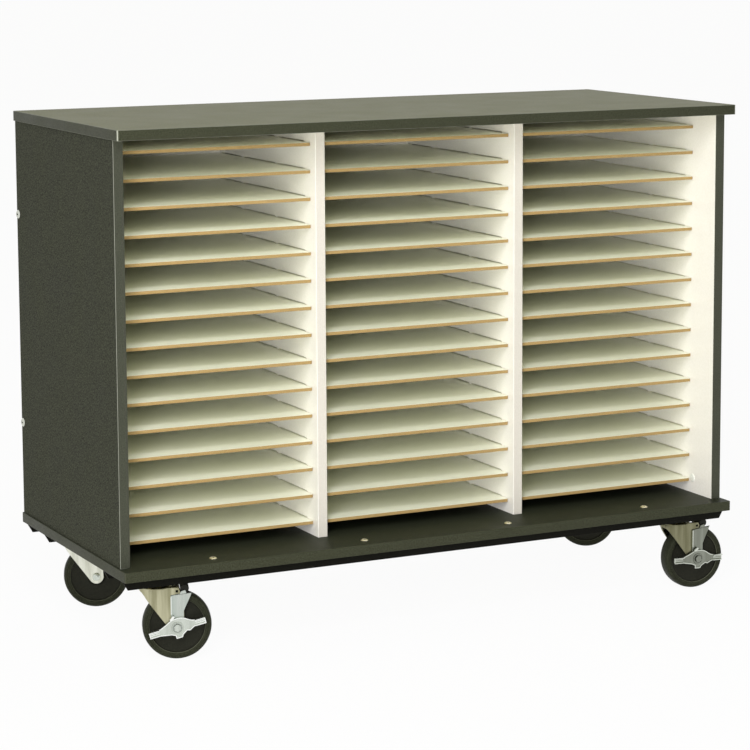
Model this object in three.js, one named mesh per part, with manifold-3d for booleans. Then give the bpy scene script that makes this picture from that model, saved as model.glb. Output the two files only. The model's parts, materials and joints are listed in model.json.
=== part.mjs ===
// Music folio cart: a laminate cabinet with three columns of slotted-in shelves, on two steel
// rails and four swivel casters. Millimetres, +Z up, +X to the cart's right, -Y to its open front.
// The origin is on the floor, below the middle of the cabinet.
import * as THREE from 'three';
import { mergeVertices } from 'three/addons/utils/BufferGeometryUtils.js';
import Module from 'manifold-3d';

const wasm = await Module();
wasm.setup();

// Cabinet boards
const boardThickness = 19;
const compartmentWidth = 402.5;
const cabinetDepth = 563.5;
const columnCount = 3;
const slabSideOverhang = 4;
const slabFrontOverhang = 33.25;
const dividerSetback = 60.75;
const slabBandThickness = 2;
const slabCornerRadius = 3;

// Shelves and the routed slots that hold their tabs
const shelfCount = 15;
const shelfThickness = 6;
const shelfPitch = 51.25;
const firstShelfDrop = 28;
const lastShelfRise = 22;
const shelfSetback = 20;
const shelfBackGap = 1;
const shelfSideGap = 0.25;
const slotFrontSetback = 26.75;
const slotRearSetback = 5.25;
const slotBridge = 8;
const slotLengthShares = [0.333, 0.397, 0.27];
const slotHeight = 10.5;
const slotDepth = 5.5;
const tabDepth = 5;
const tabEndGap = 1.5;

// Rails under the base, and the bolts that hold them
const railDepth = 101;
const railEdgeInset = 20.75;
const railHeight = 18.5;
const railThickness = 3;
const railEndInset = 2.25;
const railEndTaper = 11;
const railBoltRows = 4;
const railBoltEndInset = 183.75;
const railBoltSetback = 11;
const railBoltRadius = 3;
const railBoltHeadRadius = 7.5;
const railBoltHeadHeight = 3.5;
const railNutRadius = 5.75;
const railNutHeight = 5;
const railBoltEnd = 2;

// Screws that hold the side panels to the back, and the caps that cover the fittings at the base
const sideScrewInset = 181.5;
const sideScrewRadius = 3.5;
const sideScrewLength = 45;
const sideScrewHeadRadius = 8.75;
const sideScrewHeadHeight = 4;
const capHeight = 30;
const capSetback = 71;
const capRadius = 8.75;
const capThickness = 1.5;

// Casters
const casterEndInset = 85.75;
const wheelDiameter = 127;
const treadWidth = 32;
const hubWidth = 39;
const swivelOffset = 38;
const crownClearance = 7.5;
const plateLength = 92;
const plateWidth = 67;
const plateThickness = 4;
const racewayRadius = 27;
const racewayHeight = 20.2;
const kingpinRadius = 6.5;
const kingpinHeadRadius = 10;
const kingpinHeadHeight = 3;
const forkThickness = 3;
const hubClearance = 1.5;
const forkCrownRadius = 30;
const forkEarRadius = 14;
const axleRadius = 5;
const axleHeadRadius = 7;
const axleHeadHeight = 4.5;
const axleEnd = 2;

// Brakes of the two front casters
const brakePlateThickness = 2.5;
const pedalThickness = 2.5;
const pedalHalfLength = 53;
const pedalHubRadius = 16;
const pedalPadHeight = 12;
const pedalLip = 6;
const brakeShoeRadius = 8;
const brakeShoeTrail = 14;
const brakeShoeGap = 1.35;

// How the casters stand: swivel angles from +X, and the rise of each brake pedal, in degrees
const frontLeftSwivelAngle = -19.5;
const frontRightSwivelAngle = -5;
const rearLeftSwivelAngle = -20;
const rearRightSwivelAngle = -30;
const leftPedalAngle = 15;
const rightPedalAngle = 0;

// Clearances: between pieces that turn or are cut round each other, and past a cut's surface
const gap = 0.3;
const overrun = 2;
const roundSides = 12;
const wheelSides = 24;
const curveSteps = 4;

// Heights, from the floor up
const crownBottom = wheelDiameter + crownClearance;
const crownTop = crownBottom + forkThickness;
const plateBottom = crownTop + gap + racewayHeight;
const casterHeight = plateBottom + plateThickness;
const railTop = casterHeight + railThickness;
const railBottom = railTop - railHeight;
const baseTop = railTop + boardThickness;
const slabBottom = baseTop + lastShelfRise + (shelfCount - 1) * shelfPitch + shelfThickness + firstShelfDrop;
const axleZ = wheelDiameter / 2;

// Places across and from front to back
const dividerCount = columnCount - 1;
const innerWidth = columnCount * compartmentWidth + dividerCount * boardThickness;
const panelX = innerWidth / 2 + boardThickness;
const slabX = panelX + slabSideOverhang;
const rearY = cabinetDepth / 2;
const frontY = -rearY;
const panelFrontY = frontY + slabFrontOverhang;
const backFaceY = rearY - boardThickness;
const dividerFrontY = panelFrontY + dividerSetback;
const shelfFrontY = dividerFrontY + shelfSetback;
const shelfBackY = backFaceY - shelfBackGap;
const columnPitch = compartmentWidth + boardThickness;
const railY = cabinetDepth / 2 - railEdgeInset - railDepth / 2;
const casterX = slabX - casterEndInset;

const solidFrom = (geometry) => {
  // A closed triangle mesh as a solid, with only its positions kept and shared.
  const bare = geometry.clone();
  bare.deleteAttribute('normal');
  bare.deleteAttribute('uv');
  const merged = mergeVertices(bare);
  return new wasm.Manifold(new wasm.Mesh({
    numProp: 3,
    vertProperties: new Float32Array(merged.attributes.position.array),
    triVerts: new Uint32Array(merged.index.array),
  }));
};

const box = (x0, x1, y0, y1, z0, z1) => {
  const geometry = new THREE.BoxGeometry(x1 - x0, y1 - y0, z1 - z0);
  geometry.translate((x0 + x1) / 2, (y0 + y1) / 2, (z0 + z1) / 2);
  return solidFrom(geometry);
};

// An outline drawn in two axes and pushed along the third. The turn puts it in its plane.
const prism = (outline, depth, turn) => {
  const shape = outline instanceof THREE.Shape
    ? outline
    : new THREE.Shape(outline.map(([u, v]) => new THREE.Vector2(u, v)));
  const geometry = new THREE.ExtrudeGeometry(shape, { depth, bevelEnabled: false, curveSegments: curveSteps });
  if (turn) geometry.applyMatrix4(turn);
  return solidFrom(geometry);
};

// Outline in X and Z, pushed along +Y.
const uprightPrism = (outline, y0, y1) => {
  const turn = new THREE.Matrix4().makeRotationX(Math.PI / 2);
  turn.setPosition(0, y1, 0);
  return prism(outline, y1 - y0, turn);
};

// Outline in X and Y, pushed up from z0 to z1.
const flatPrism = (outline, z0, z1) => {
  const turn = new THREE.Matrix4().makeTranslation(0, 0, z0);
  return prism(outline, z1 - z0, turn);
};

// A profile of [radius, place] pairs, turned about an axis: 'x', 'y' or 'z'. Flats touch the radius
// when the piece is a hole or a tread, and corners touch it otherwise.
const turned = (profile, axis = 'z', sides = roundSides, flats = false) => {
  const grow = flats ? 1 / Math.cos(Math.PI / sides) : 1;
  const points = profile.map(([r, t]) => new THREE.Vector2(r * grow, t));
  const geometry = new THREE.LatheGeometry([...points, points[0].clone()], sides);
  geometry.rotateY(Math.PI / sides);
  if (axis === 'z') geometry.rotateX(Math.PI / 2);
  if (axis === 'x') geometry.rotateZ(-Math.PI / 2);
  return solidFrom(geometry);
};

const rod = (radius, t0, t1, axis = 'z', sides = roundSides, flats = false) => {
  const profile = [[0, t0], [radius, t0], [radius, t1], [0, t1]];
  return turned(profile, axis, sides, flats);
};

const hole = (radius, t0, t1, axis = 'z') => rod(radius, t0, t1, axis, roundSides, true);

const joined = (solids) => solids.reduce((whole, solid) => whole.add(solid));
const without = (solid, cuts) => cuts.reduce((rest, cut) => rest.subtract(cut), solid);

const group = new THREE.Group();

const addPiece = (name, solid, material, parent = group) => {
  const data = solid.getMesh();
  const geometry = new THREE.BufferGeometry();
  geometry.setAttribute('position', new THREE.BufferAttribute(data.vertProperties, data.numProp));
  geometry.setIndex(new THREE.BufferAttribute(data.triVerts, 1));
  geometry.computeVertexNormals();
  const mesh = new THREE.Mesh(geometry, material);
  mesh.name = name;
  parent.add(mesh);
  return mesh;
};

const finish = (color, roughness, metalness) =>
  new THREE.MeshStandardMaterial({ color, roughness, metalness });
const charcoalLaminate = finish(0x46483f, 0.6, 0);
const charcoalBand = finish(0x50524a, 0.5, 0);
const whiteMelamine = finish(0xf2efe2, 0.45, 0);
const shelfBoard = finish(0xefecdf, 0.5, 0);
const blackSteel = finish(0x1c1c1a, 0.5, 0.3);
const brightZinc = finish(0xc9c9bd, 0.3, 0.9);
const brassPlate = finish(0xb59b6a, 0.3, 0.9);
const blackRubber = finish(0x24261f, 0.6, 0);
const whitePlastic = finish(0xe9e9df, 0.4, 0);

// The top and the base are the same slab, with a plastic band round all four edges.
const roundedRectangle = (halfX, halfY, radius) => {
  const shape = new THREE.Shape();
  shape.moveTo(-halfX + radius, -halfY);
  shape.lineTo(halfX - radius, -halfY);
  shape.absarc(halfX - radius, -halfY + radius, radius, -Math.PI / 2, 0);
  shape.lineTo(halfX, halfY - radius);
  shape.absarc(halfX - radius, halfY - radius, radius, 0, Math.PI / 2);
  shape.lineTo(-halfX + radius, halfY);
  shape.absarc(-halfX + radius, halfY - radius, radius, Math.PI / 2, Math.PI);
  shape.lineTo(-halfX, -halfY + radius);
  shape.absarc(-halfX + radius, -halfY + radius, radius, Math.PI, Math.PI * 1.5);
  return shape;
};

const coreX = slabX - slabBandThickness;
const coreY = rearY - slabBandThickness;
const slabCore = (z) => box(-coreX, coreX, -coreY, coreY, z, z + boardThickness);
const slabBand = (z) => {
  const outer = flatPrism(roundedRectangle(slabX, rearY, slabCornerRadius), z, z + boardThickness);
  return outer.subtract(box(-coreX, coreX, -coreY, coreY, z - overrun, z + boardThickness + overrun));
};

const railBoltReach = slabX - railBoltEndInset;
const railBoltPlaces = [...Array(railBoltRows).keys()].map((i) => [
  (2 * i / (railBoltRows - 1) - 1) * railBoltReach,
  -railY - railDepth / 2 + railBoltSetback,
]);
const capY = panelFrontY + capSetback;
const innerX = panelX - boardThickness;

addPiece('top_panel', slabCore(slabBottom), charcoalLaminate);
addPiece('base_panel', without(slabCore(railTop), railBoltPlaces.map(([x, y]) =>
  hole(railBoltRadius + gap, railTop - overrun, baseTop + overrun).translate([x, y, 0]))),
charcoalLaminate);
addPiece('top_edge_band', slabBand(slabBottom), charcoalBand);
addPiece('base_edge_band', slabBand(railTop), charcoalBand);

const dividerX = [...Array(dividerCount).keys()].map(
  (i) => -innerWidth / 2 + compartmentWidth + i * columnPitch);

// Each shelf has three tabs a side. They lie in slots routed into the side panels and right through
// the dividers, and rest on the slots' floors.
const shelfBottoms = [...Array(shelfCount).keys()].map(
  (i) => slabBottom - firstShelfDrop - shelfThickness - i * shelfPitch);
const slotRun = shelfBackY - slotRearSetback - shelfFrontY - slotFrontSetback
  - (slotLengthShares.length - 1) * slotBridge;
const slotSpans = [];
let slotY = shelfFrontY + slotFrontSetback;
for (const share of slotLengthShares) {
  slotSpans.push([slotY, slotY + share * slotRun]);
  slotY += share * slotRun + slotBridge;
}
const slotsBetween = (x0, x1) => joined(shelfBottoms.flatMap((z) =>
  slotSpans.map(([y0, y1]) => box(x0, x1, y0, y1, z, z + slotHeight))));

const sideScrewZ = [baseTop + sideScrewInset, slabBottom - sideScrewInset];
const sideScrewY = backFaceY + boardThickness / 2;
const sidePanel = (side) => {
  const inner = side * innerX;
  const outer = side * panelX;
  const ends = [inner + side * slotDepth, inner - side * overrun];
  const board = box(Math.min(inner, outer), Math.max(inner, outer), panelFrontY, rearY,
    baseTop, slabBottom);
  return without(board, [
    slotsBetween(Math.min(...ends), Math.max(...ends)),
    ...sideScrewZ.map((z) =>
      hole(sideScrewRadius + gap, -boardThickness, boardThickness, 'x')
        .translate([side * (innerX + boardThickness / 2), sideScrewY, z])),
  ]);
};
addPiece('left_side_panel', sidePanel(-1), charcoalLaminate);
addPiece('right_side_panel', sidePanel(1), charcoalLaminate);

const divider = (x) => box(x, x + boardThickness, dividerFrontY, backFaceY, baseTop, slabBottom)
  .subtract(slotsBetween(x - overrun, x + boardThickness + overrun));
addPiece('left_divider', divider(dividerX[0]), whiteMelamine);
addPiece('right_divider', divider(dividerX[1]), whiteMelamine);

addPiece('back_panel', without(
  box(-innerX, innerX, backFaceY, rearY, baseTop, slabBottom),
  [-1, 1].flatMap((side) => sideScrewZ.map((z) => {
    const depth = sideScrewLength - boardThickness + gap;
    return hole(sideScrewRadius + gap, -depth, depth, 'x').translate([side * innerX, sideScrewY, z]);
  })),
), whiteMelamine);

// One tier is the three shelves at one height, which meet tab to tab inside the dividers.
const columns = [...Array(columnCount).keys()].map((column) => {
  const x0 = -innerWidth / 2 + column * columnPitch;
  return [x0 + shelfSideGap, x0 + compartmentWidth - shelfSideGap];
});
const tabSpans = slotSpans.map(([y0, y1]) => [y0 + tabEndGap, y1 - tabEndGap]);
const tabX = innerX + tabDepth;
const tierOutline = () => {
  const edge = innerX - shelfSideGap;
  const firstTab = tabSpans[0][0];
  const lastTab = tabSpans.at(-1)[1];
  const front = columns.flatMap(([x0, x1]) =>
    [[x0, firstTab], [x0, shelfFrontY], [x1, shelfFrontY], [x1, firstTab]]);
  const right = tabSpans.flatMap(([y0, y1]) => [[edge, y0], [tabX, y0], [tabX, y1], [edge, y1]]);
  const back = [...columns].reverse().flatMap(([x0, x1]) =>
    [[x1, lastTab], [x1, shelfBackY], [x0, shelfBackY], [x0, lastTab]]);
  const left = [...tabSpans].reverse().flatMap(([y0, y1]) =>
    [[-edge, y1], [-tabX, y1], [-tabX, y0], [-edge, y0]]);
  return [...front.slice(1, -1), ...right, ...back.slice(1, -1), ...left];
};
const tierGaps = (z0, z1) => dividerX.flatMap((x) => tabSpans.slice(1).map(([y1], i) =>
  box(x - shelfSideGap, x + boardThickness + shelfSideGap, tabSpans[i][1], y1, z0, z1)));
shelfBottoms.forEach((z, i) => {
  const top = z + shelfThickness;
  const tier = without(flatPrism(tierOutline(), z, top), tierGaps(z - overrun, top + overrun));
  addPiece(`shelf_tier_${String(i + 1).padStart(2, '0')}`, tier, shelfBoard);
});

// Dome-headed screws through the side panels into the edges of the back panel.
const sideScrew = (side, z) => {
  const profile = [
    [0, -sideScrewLength],
    [sideScrewRadius, -sideScrewLength],
    [sideScrewRadius, gap],
    [sideScrewHeadRadius, gap],
    [sideScrewHeadRadius * 0.8, gap + sideScrewHeadHeight * 0.7],
    [sideScrewHeadRadius * 0.35, gap + sideScrewHeadHeight],
    [0, gap + sideScrewHeadHeight],
  ];
  const screw = turned(profile, 'x');
  return (side > 0 ? screw : screw.rotate([0, 0, 180])).translate([side * panelX, sideScrewY, z]);
};
for (const [name, side] of [['left', -1], ['right', 1]]) {
  addPiece(`${name}_lower_side_screw`, sideScrew(side, sideScrewZ[0]), brassPlate);
  addPiece(`${name}_upper_side_screw`, sideScrew(side, sideScrewZ[1]), brassPlate);
}

// A push-in cap on each side panel's inner face covers the fitting that holds it to the base.
const coverCap = (side) => {
  const cap = turned([
    [0, 0],
    [capRadius, 0],
    [capRadius, capThickness * 0.5],
    [capRadius * 0.9, capThickness],
    [0, capThickness],
  ], 'x');
  return (side > 0 ? cap.rotate([0, 0, 180]) : cap).translate([side * innerX, capY, baseTop + capHeight]);
};
addPiece('left_cover_cap', coverCap(-1), whitePlastic);
addPiece('right_cover_cap', coverCap(1), whitePlastic);

// The rails are channels with their flanges down and their ends cut at a slant.
const rail = (y) => {
  const half = railDepth / 2;
  const ends = slabX - railEndInset;
  const block = uprightPrism([
    [-ends, railTop],
    [-ends + railEndTaper, railBottom],
    [ends - railEndTaper, railBottom],
    [ends, railTop],
  ], y - half, y + half);
  const hollow = box(-slabX, slabX, y - half + railThickness, y + half - railThickness,
    railBottom - overrun, casterHeight);
  const bolts = railBoltPlaces.filter(([, boltY]) => Math.abs(boltY - y) < half);
  return without(block, [
    hollow,
    ...bolts.map(([x, boltY]) =>
      hole(railBoltRadius + gap, casterHeight - overrun, railTop + overrun).translate([x, boltY, 0])),
  ]);
};
addPiece('front_rail', rail(-railY), blackSteel);
addPiece('rear_rail', rail(railY), blackSteel);

// Domed bolts go down through the base and the front rail, each into a hexagon nut.
const railBolt = () => {
  const bolt = turned([
    [0, casterHeight - railNutHeight - railBoltEnd],
    [railBoltRadius, casterHeight - railNutHeight - railBoltEnd],
    [railBoltRadius, baseTop],
    [railBoltHeadRadius, baseTop],
    [railBoltHeadRadius * 0.75, baseTop + railBoltHeadHeight * 0.75],
    [railBoltHeadRadius * 0.3, baseTop + railBoltHeadHeight],
    [0, baseTop + railBoltHeadHeight],
  ]);
  return bolt.add(rod(railNutRadius, casterHeight - railNutHeight, casterHeight, 'z', 6));
};
railBoltPlaces.forEach(([x, y], i) => {
  addPiece(`rail_bolt_${i + 1}`, railBolt().translate([x, y, 0]), brassPlate);
});

// The ball race between the plate and the fork: two pressed cups with a waist between them.
const raceway = () => {
  const low = crownTop + gap;
  const waist = low + racewayHeight / 2;
  const bore = kingpinRadius + gap;
  return turned([
    [bore, low],
    [racewayRadius - forkThickness, low],
    [racewayRadius, low + racewayHeight / 4],
    [racewayRadius - forkThickness, waist],
    [racewayRadius, waist + racewayHeight / 4],
    [racewayRadius - forkThickness / 2, plateBottom],
    [bore, plateBottom],
  ], 'z', roundSides, true);
};

// The kingpin is riveted into the plate, and its head carries the fork's crown.
const casterPlate = () => {
  const x = plateLength / 2;
  const y = plateWidth / 2;
  const head = crownBottom - gap;
  const kingpin = turned([
    [0, head - kingpinHeadHeight],
    [kingpinHeadRadius * 0.8, head - kingpinHeadHeight],
    [kingpinHeadRadius, head - kingpinHeadHeight / 2],
    [kingpinHeadRadius, head],
    [kingpinRadius, head],
    [kingpinRadius, plateBottom + plateThickness / 2],
    [0, plateBottom + plateThickness / 2],
  ]);
  return box(-x, x, -y, y, plateBottom, casterHeight).add(kingpin);
};

// What swivels is drawn about the axle: +X is the way the wheel trails, and -Y the brake's side.
const forkNose = swivelOffset + forkCrownRadius;
const forkHalfWidth = hubWidth / 2 + hubClearance + forkThickness;
const crownRise = crownTop - axleZ;
const fork = () => {
  const inner = forkHalfWidth - forkThickness;
  const noseX = -forkNose + forkHalfWidth;
  const horseshoe = (radius, reach) => {
    const shape = new THREE.Shape();
    shape.moveTo(reach, -radius);
    shape.lineTo(reach, radius);
    shape.lineTo(noseX, radius);
    shape.absarc(noseX, 0, radius, Math.PI / 2, Math.PI * 1.5);
    return shape;
  };
  const wall = flatPrism(horseshoe(forkHalfWidth, forkEarRadius), -forkEarRadius, crownRise)
    .subtract(flatPrism(horseshoe(inner, forkEarRadius + overrun), -forkEarRadius - overrun,
      crownRise - forkThickness));
  const side = new THREE.Shape();
  side.moveTo(forkEarRadius, 0);
  side.lineTo(forkEarRadius * 0.85, crownRise * 0.55);
  side.lineTo(forkEarRadius * 0.3, crownRise);
  side.lineTo(-forkNose, crownRise);
  side.lineTo(-forkNose, crownRise * 0.88);
  side.quadraticCurveTo(-forkNose * 0.92, crownRise * 0.86, -forkNose * 0.82, crownRise * 0.7);
  side.lineTo(-forkEarRadius * Math.cos(Math.PI / 5), -forkEarRadius * Math.sin(Math.PI / 5));
  side.absarc(0, 0, forkEarRadius, Math.PI * 1.2, Math.PI * 2);
  const legs = wall.intersect(uprightPrism(side, -forkHalfWidth - overrun, forkHalfWidth + overrun));
  const crown = rod(forkCrownRadius, crownRise - forkThickness, crownRise, 'z', wheelSides)
    .translate([-swivelOffset, 0, 0]);
  return without(legs.add(crown), [
    hole(kingpinRadius + gap, crownRise - forkThickness - overrun, crownRise + overrun)
      .translate([-swivelOffset, 0, 0]),
    hole(axleRadius + gap, -forkHalfWidth - overrun, forkHalfWidth + overrun, 'y'),
  ]);
};

const wheel = () => {
  const hub = hubWidth / 2;
  const tread = treadWidth / 2;
  const radius = wheelDiameter / 2;
  const bore = axleRadius + gap;
  const near = [
    [bore, -hub],
    [bore * 2.4, -hub],
    [bore * 2.9, -tread * 0.6],
    [radius * 0.78, -tread * 0.6],
    [radius * 0.82, -tread],
    [radius * 0.92, -tread],
    [radius, -tread * 0.55],
  ];
  const far = [...near].reverse().map(([r, t]) => [r, -t]);
  return turned([...near, ...far], 'y', wheelSides, true);
};

// The axle is a bolt. Its head is on the -Y side, outside whatever is stacked on that leg.
const axle = (stack) => {
  const headY = -forkHalfWidth - stack - gap;
  const nutY = forkHalfWidth + gap;
  const bolt = turned([
    [0, headY - axleHeadHeight],
    [axleHeadRadius * 0.5, headY - axleHeadHeight],
    [axleHeadRadius, headY - axleHeadHeight * 0.45],
    [axleHeadRadius, headY],
    [axleRadius, headY],
    [axleRadius, nutY + axleHeadHeight + axleEnd],
    [0, nutY + axleHeadHeight + axleEnd],
  ], 'y');
  const nut = rod(axleHeadRadius * 1.2, nutY, nutY + axleHeadHeight, 'y', 6);
  return bolt.add(nut);
};

// The brake plate stands on the fork's -Y leg. Its upper corner carries the shoe over the tread.
const brakePlate = () => {
  const outer = -forkHalfWidth - gap;
  const width = pedalHubRadius * 0.75;
  const shoeReach = axleZ + brakeShoeGap + brakeShoeRadius;
  const brakeShoeHeight = Math.sqrt(shoeReach ** 2 - brakeShoeTrail ** 2);
  const shape = new THREE.Shape();
  shape.moveTo(width, 0);
  shape.lineTo(width, brakeShoeHeight * 0.42);
  shape.quadraticCurveTo(width * 1.3, brakeShoeHeight * 0.55, width * 2.3, brakeShoeHeight * 0.9);
  shape.lineTo(width * 1.45, brakeShoeHeight * 0.88);
  shape.lineTo(width * 1.25, brakeShoeHeight * 0.97);
  shape.lineTo(width * 0.6, brakeShoeHeight * 0.94);
  shape.lineTo(width * 0.35, brakeShoeHeight * 0.86);
  shape.lineTo(-width, brakeShoeHeight * 0.83);
  shape.lineTo(-width, 0);
  shape.absarc(0, 0, width, Math.PI, Math.PI * 2);
  const shoe = rod(brakeShoeRadius, outer - brakePlateThickness / 2, treadWidth / 2, 'y')
    .translate([brakeShoeTrail, 0, brakeShoeHeight]);
  return uprightPrism(shape, outer - brakePlateThickness, outer).add(shoe)
    .subtract(hole(axleRadius + gap, outer - brakePlateThickness - overrun, outer + overrun, 'y'));
};

// A rocking pedal with a foot pad at each end, on the axle outside the brake plate.
const brakePedal = () => {
  const outer = -forkHalfWidth - brakePlateThickness - gap * 2;
  const pad = pedalPadHeight / 2;
  const hub = pedalHubRadius;
  const outline = [
    [-pedalHalfLength, pad],
    [-pedalHalfLength * 0.6, pad],
    [-hub * 1.2, hub * 0.7],
    [-hub * 0.45, hub * 1.08],
    [hub * 0.45, hub * 1.12],
    [hub * 1.05, hub * 0.94],
    [hub * 1.6, pad * 1.4],
    [pedalHalfLength * 0.62, pad],
    [pedalHalfLength, pad],
    [pedalHalfLength, -pad],
    [pedalHalfLength * 0.58, -pad],
    [hub * 1.3, -hub * 0.72],
    [hub, -hub * 0.6],
    [hub * 0.45, -hub * 0.94],
    [hub * 0.3, -hub * 1.22],
    [-hub * 0.45, -hub * 1.22],
    [-hub * 0.45, -hub * 0.85],
    [-hub * 0.85, -hub * 0.65],
    [-pedalHalfLength * 0.7, -pad],
    [-pedalHalfLength, -pad],
  ];
  const plate = uprightPrism(outline, outer - pedalThickness, outer);
  const lip = (side) => {
    const x0 = side * pedalHalfLength * 0.72;
    const x1 = side * pedalHalfLength;
    return box(Math.min(x0, x1), Math.max(x0, x1), outer - pedalThickness - pedalLip, outer,
      pad - pedalThickness, pad);
  };
  return joined([plate, lip(-1), lip(1)])
    .subtract(hole(axleRadius + gap, outer - pedalThickness - overrun, outer + overrun, 'y'));
};

const casters = [
  { name: 'front_left', x: -casterX, y: -railY, swivel: frontLeftSwivelAngle, pedal: leftPedalAngle },
  { name: 'front_right', x: casterX, y: -railY, swivel: frontRightSwivelAngle, pedal: rightPedalAngle },
  { name: 'rear_left', x: -casterX, y: railY, swivel: rearLeftSwivelAngle },
  { name: 'rear_right', x: casterX, y: railY, swivel: rearRightSwivelAngle },
];
casters.forEach(({ name, x, y, swivel, pedal }) => {
  const braked = pedal !== undefined;
  addPiece(`${name}_caster_plate`, casterPlate().translate([x, y, 0]), brightZinc);
  addPiece(`${name}_raceway`, raceway().translate([x, y, 0]), brightZinc);
  const turning = new THREE.Group();
  turning.position.set(x, y, axleZ);
  turning.rotation.z = THREE.MathUtils.degToRad(swivel);
  group.add(turning);
  const trailing = new THREE.Group();
  trailing.position.x = swivelOffset;
  turning.add(trailing);
  addPiece(`${name}_fork`, fork(), brightZinc, trailing);
  addPiece(`${name}_wheel`, wheel(), blackRubber, trailing);
  const stack = braked ? brakePlateThickness + pedalThickness + gap * 2 : 0;
  addPiece(`${name}_axle`, axle(stack), brightZinc, trailing);
  if (braked) {
    addPiece(`${name}_brake_plate`, brakePlate(), brightZinc, trailing);
    const rocker = addPiece(`${name}_brake_pedal`, brakePedal(), brightZinc, trailing);
    rocker.rotation.y = -THREE.MathUtils.degToRad(pedal);
  }
});

export default group;
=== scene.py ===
"""The music folio cart's looks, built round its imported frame.

Metres, +Z up. The open front faces -Y, and the origin is on the floor below the cabinet's middle.
"""
import json
import math

import bmesh
import bpy
import numpy as np
from mathutils import Matrix, Vector


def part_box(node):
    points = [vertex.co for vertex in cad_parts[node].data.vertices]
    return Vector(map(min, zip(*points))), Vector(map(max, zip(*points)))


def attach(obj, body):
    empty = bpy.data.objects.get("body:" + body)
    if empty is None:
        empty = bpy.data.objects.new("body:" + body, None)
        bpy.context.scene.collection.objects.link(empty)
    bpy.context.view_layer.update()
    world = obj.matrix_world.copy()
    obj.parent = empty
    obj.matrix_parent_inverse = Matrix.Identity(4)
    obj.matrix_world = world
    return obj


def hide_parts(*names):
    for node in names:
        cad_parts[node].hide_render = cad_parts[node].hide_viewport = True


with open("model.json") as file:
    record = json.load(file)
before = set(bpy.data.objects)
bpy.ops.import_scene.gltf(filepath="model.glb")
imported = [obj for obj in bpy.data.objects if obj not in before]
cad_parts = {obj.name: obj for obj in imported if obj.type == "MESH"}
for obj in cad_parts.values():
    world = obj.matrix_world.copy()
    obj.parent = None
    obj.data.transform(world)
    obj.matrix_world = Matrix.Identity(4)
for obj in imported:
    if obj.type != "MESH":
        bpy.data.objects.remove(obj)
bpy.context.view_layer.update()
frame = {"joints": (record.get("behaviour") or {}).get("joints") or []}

# Camera: it stands left of the open front, a little above the top, with a long lens.
camera_place = (-2.2932, -4.6278, 1.3371)
camera_yaw = -0.4591
camera_pitch = 0.1364
camera_roll = -0.005
sensor_width = 36
focal_widths = 3.5389
rise_shift = -0.12
nearest_seen = 0.1
farthest_seen = 200

ahead = Vector((
    -math.sin(camera_yaw) * math.cos(camera_pitch),
    math.cos(camera_yaw) * math.cos(camera_pitch),
    -math.sin(camera_pitch),
))
level = ahead.cross(Vector((0, 0, 1))).normalized()
upright = level.cross(ahead)
right = level * math.cos(camera_roll) + upright * math.sin(camera_roll)
top = upright * math.cos(camera_roll) - level * math.sin(camera_roll)
camera = bpy.data.objects.new("camera", bpy.data.cameras.new("camera"))
bpy.context.scene.collection.objects.link(camera)
camera.matrix_world = Matrix.Translation(camera_place) @ Matrix((right, top, -ahead)).transposed().to_4x4()
camera.data.sensor_width = sensor_width
camera.data.lens = sensor_width * focal_widths
camera.data.shift_y = rise_shift
camera.data.clip_start = nearest_seen
camera.data.clip_end = farthest_seen
bpy.context.scene.camera = camera
bpy.context.scene.view_settings.view_transform = "Standard"


# Floor and light: a white studio. The floor and the world are plain white to the camera and in
# reflections, and the floor keeps a faint shadow. Three broad lamps stand left of the camera: one low,
# one high, and one higher still and nearer.
def tone(red, green, blue):
    """A screen colour of 0 to 255 as linear light: c / 12.92 near black, and ((c + 0.055) / 1.055) ^ 2.4
    above, by the standard for screens."""
    screen = np.array((red, green, blue)) / 255
    linear = np.where(screen <= 0.04045, screen / 12.92, ((screen + 0.055) / 1.055) ** 2.4)
    return (*linear.tolist(), 1.0)


def wire(tree, kind, settings=None, **inputs):
    """Adds a shader node. A keyword names an input, and its value is a number, a colour or an output."""
    made = tree.nodes.new("ShaderNode" + kind)
    for setting, value in (settings or {}).items():
        setattr(made, setting, value)
    for key, value in inputs.items():
        socket = made.inputs[key.replace("_", " ")]
        if isinstance(value, bpy.types.NodeSocket):
            tree.links.new(value, socket)
        else:
            socket.default_value = value
    return made


def combine(tree, first, second, amount):
    """Joins two shaders, with amount of the second."""
    joined = wire(tree, "MixShader", Fac=amount)
    tree.links.new(first, joined.inputs[1])
    tree.links.new(second, joined.inputs[2])
    return joined.outputs[0]


def seen_or_mirrored(tree):
    """1 for rays from the camera, off gloss and through glass, and 0 for the light that falls on things."""
    path = wire(tree, "LightPath").outputs
    seen = wire(tree, "Math", {"operation": "MAXIMUM"})
    tree.links.new(path["Is Camera Ray"], seen.inputs[0])
    tree.links.new(path["Is Glossy Ray"], seen.inputs[1])
    either = wire(tree, "Math", {"operation": "MAXIMUM"})
    tree.links.new(seen.outputs[0], either.inputs[0])
    tree.links.new(path["Is Transmission Ray"], either.inputs[1])
    return either.outputs[0]


white = (1.0, 1.0, 1.0, 1.0)
sky_color = (1.0, 1.0, 0.84, 1.0)
sky_strength = 0.45
sky = bpy.data.worlds.new("studio")
sky.use_nodes = True
sky_tree = sky.node_tree
sky_tree.nodes.clear()
sky_light = wire(sky_tree, "Background", Color=sky_color, Strength=sky_strength)
sky_white = wire(sky_tree, "Background", Color=white, Strength=1.0)
sky_mix = combine(sky_tree, sky_light.outputs[0], sky_white.outputs[0], seen_or_mirrored(sky_tree))
sky_tree.links.new(sky_mix, wire(sky_tree, "OutputWorld").inputs["Surface"])
bpy.context.scene.world = sky

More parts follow.
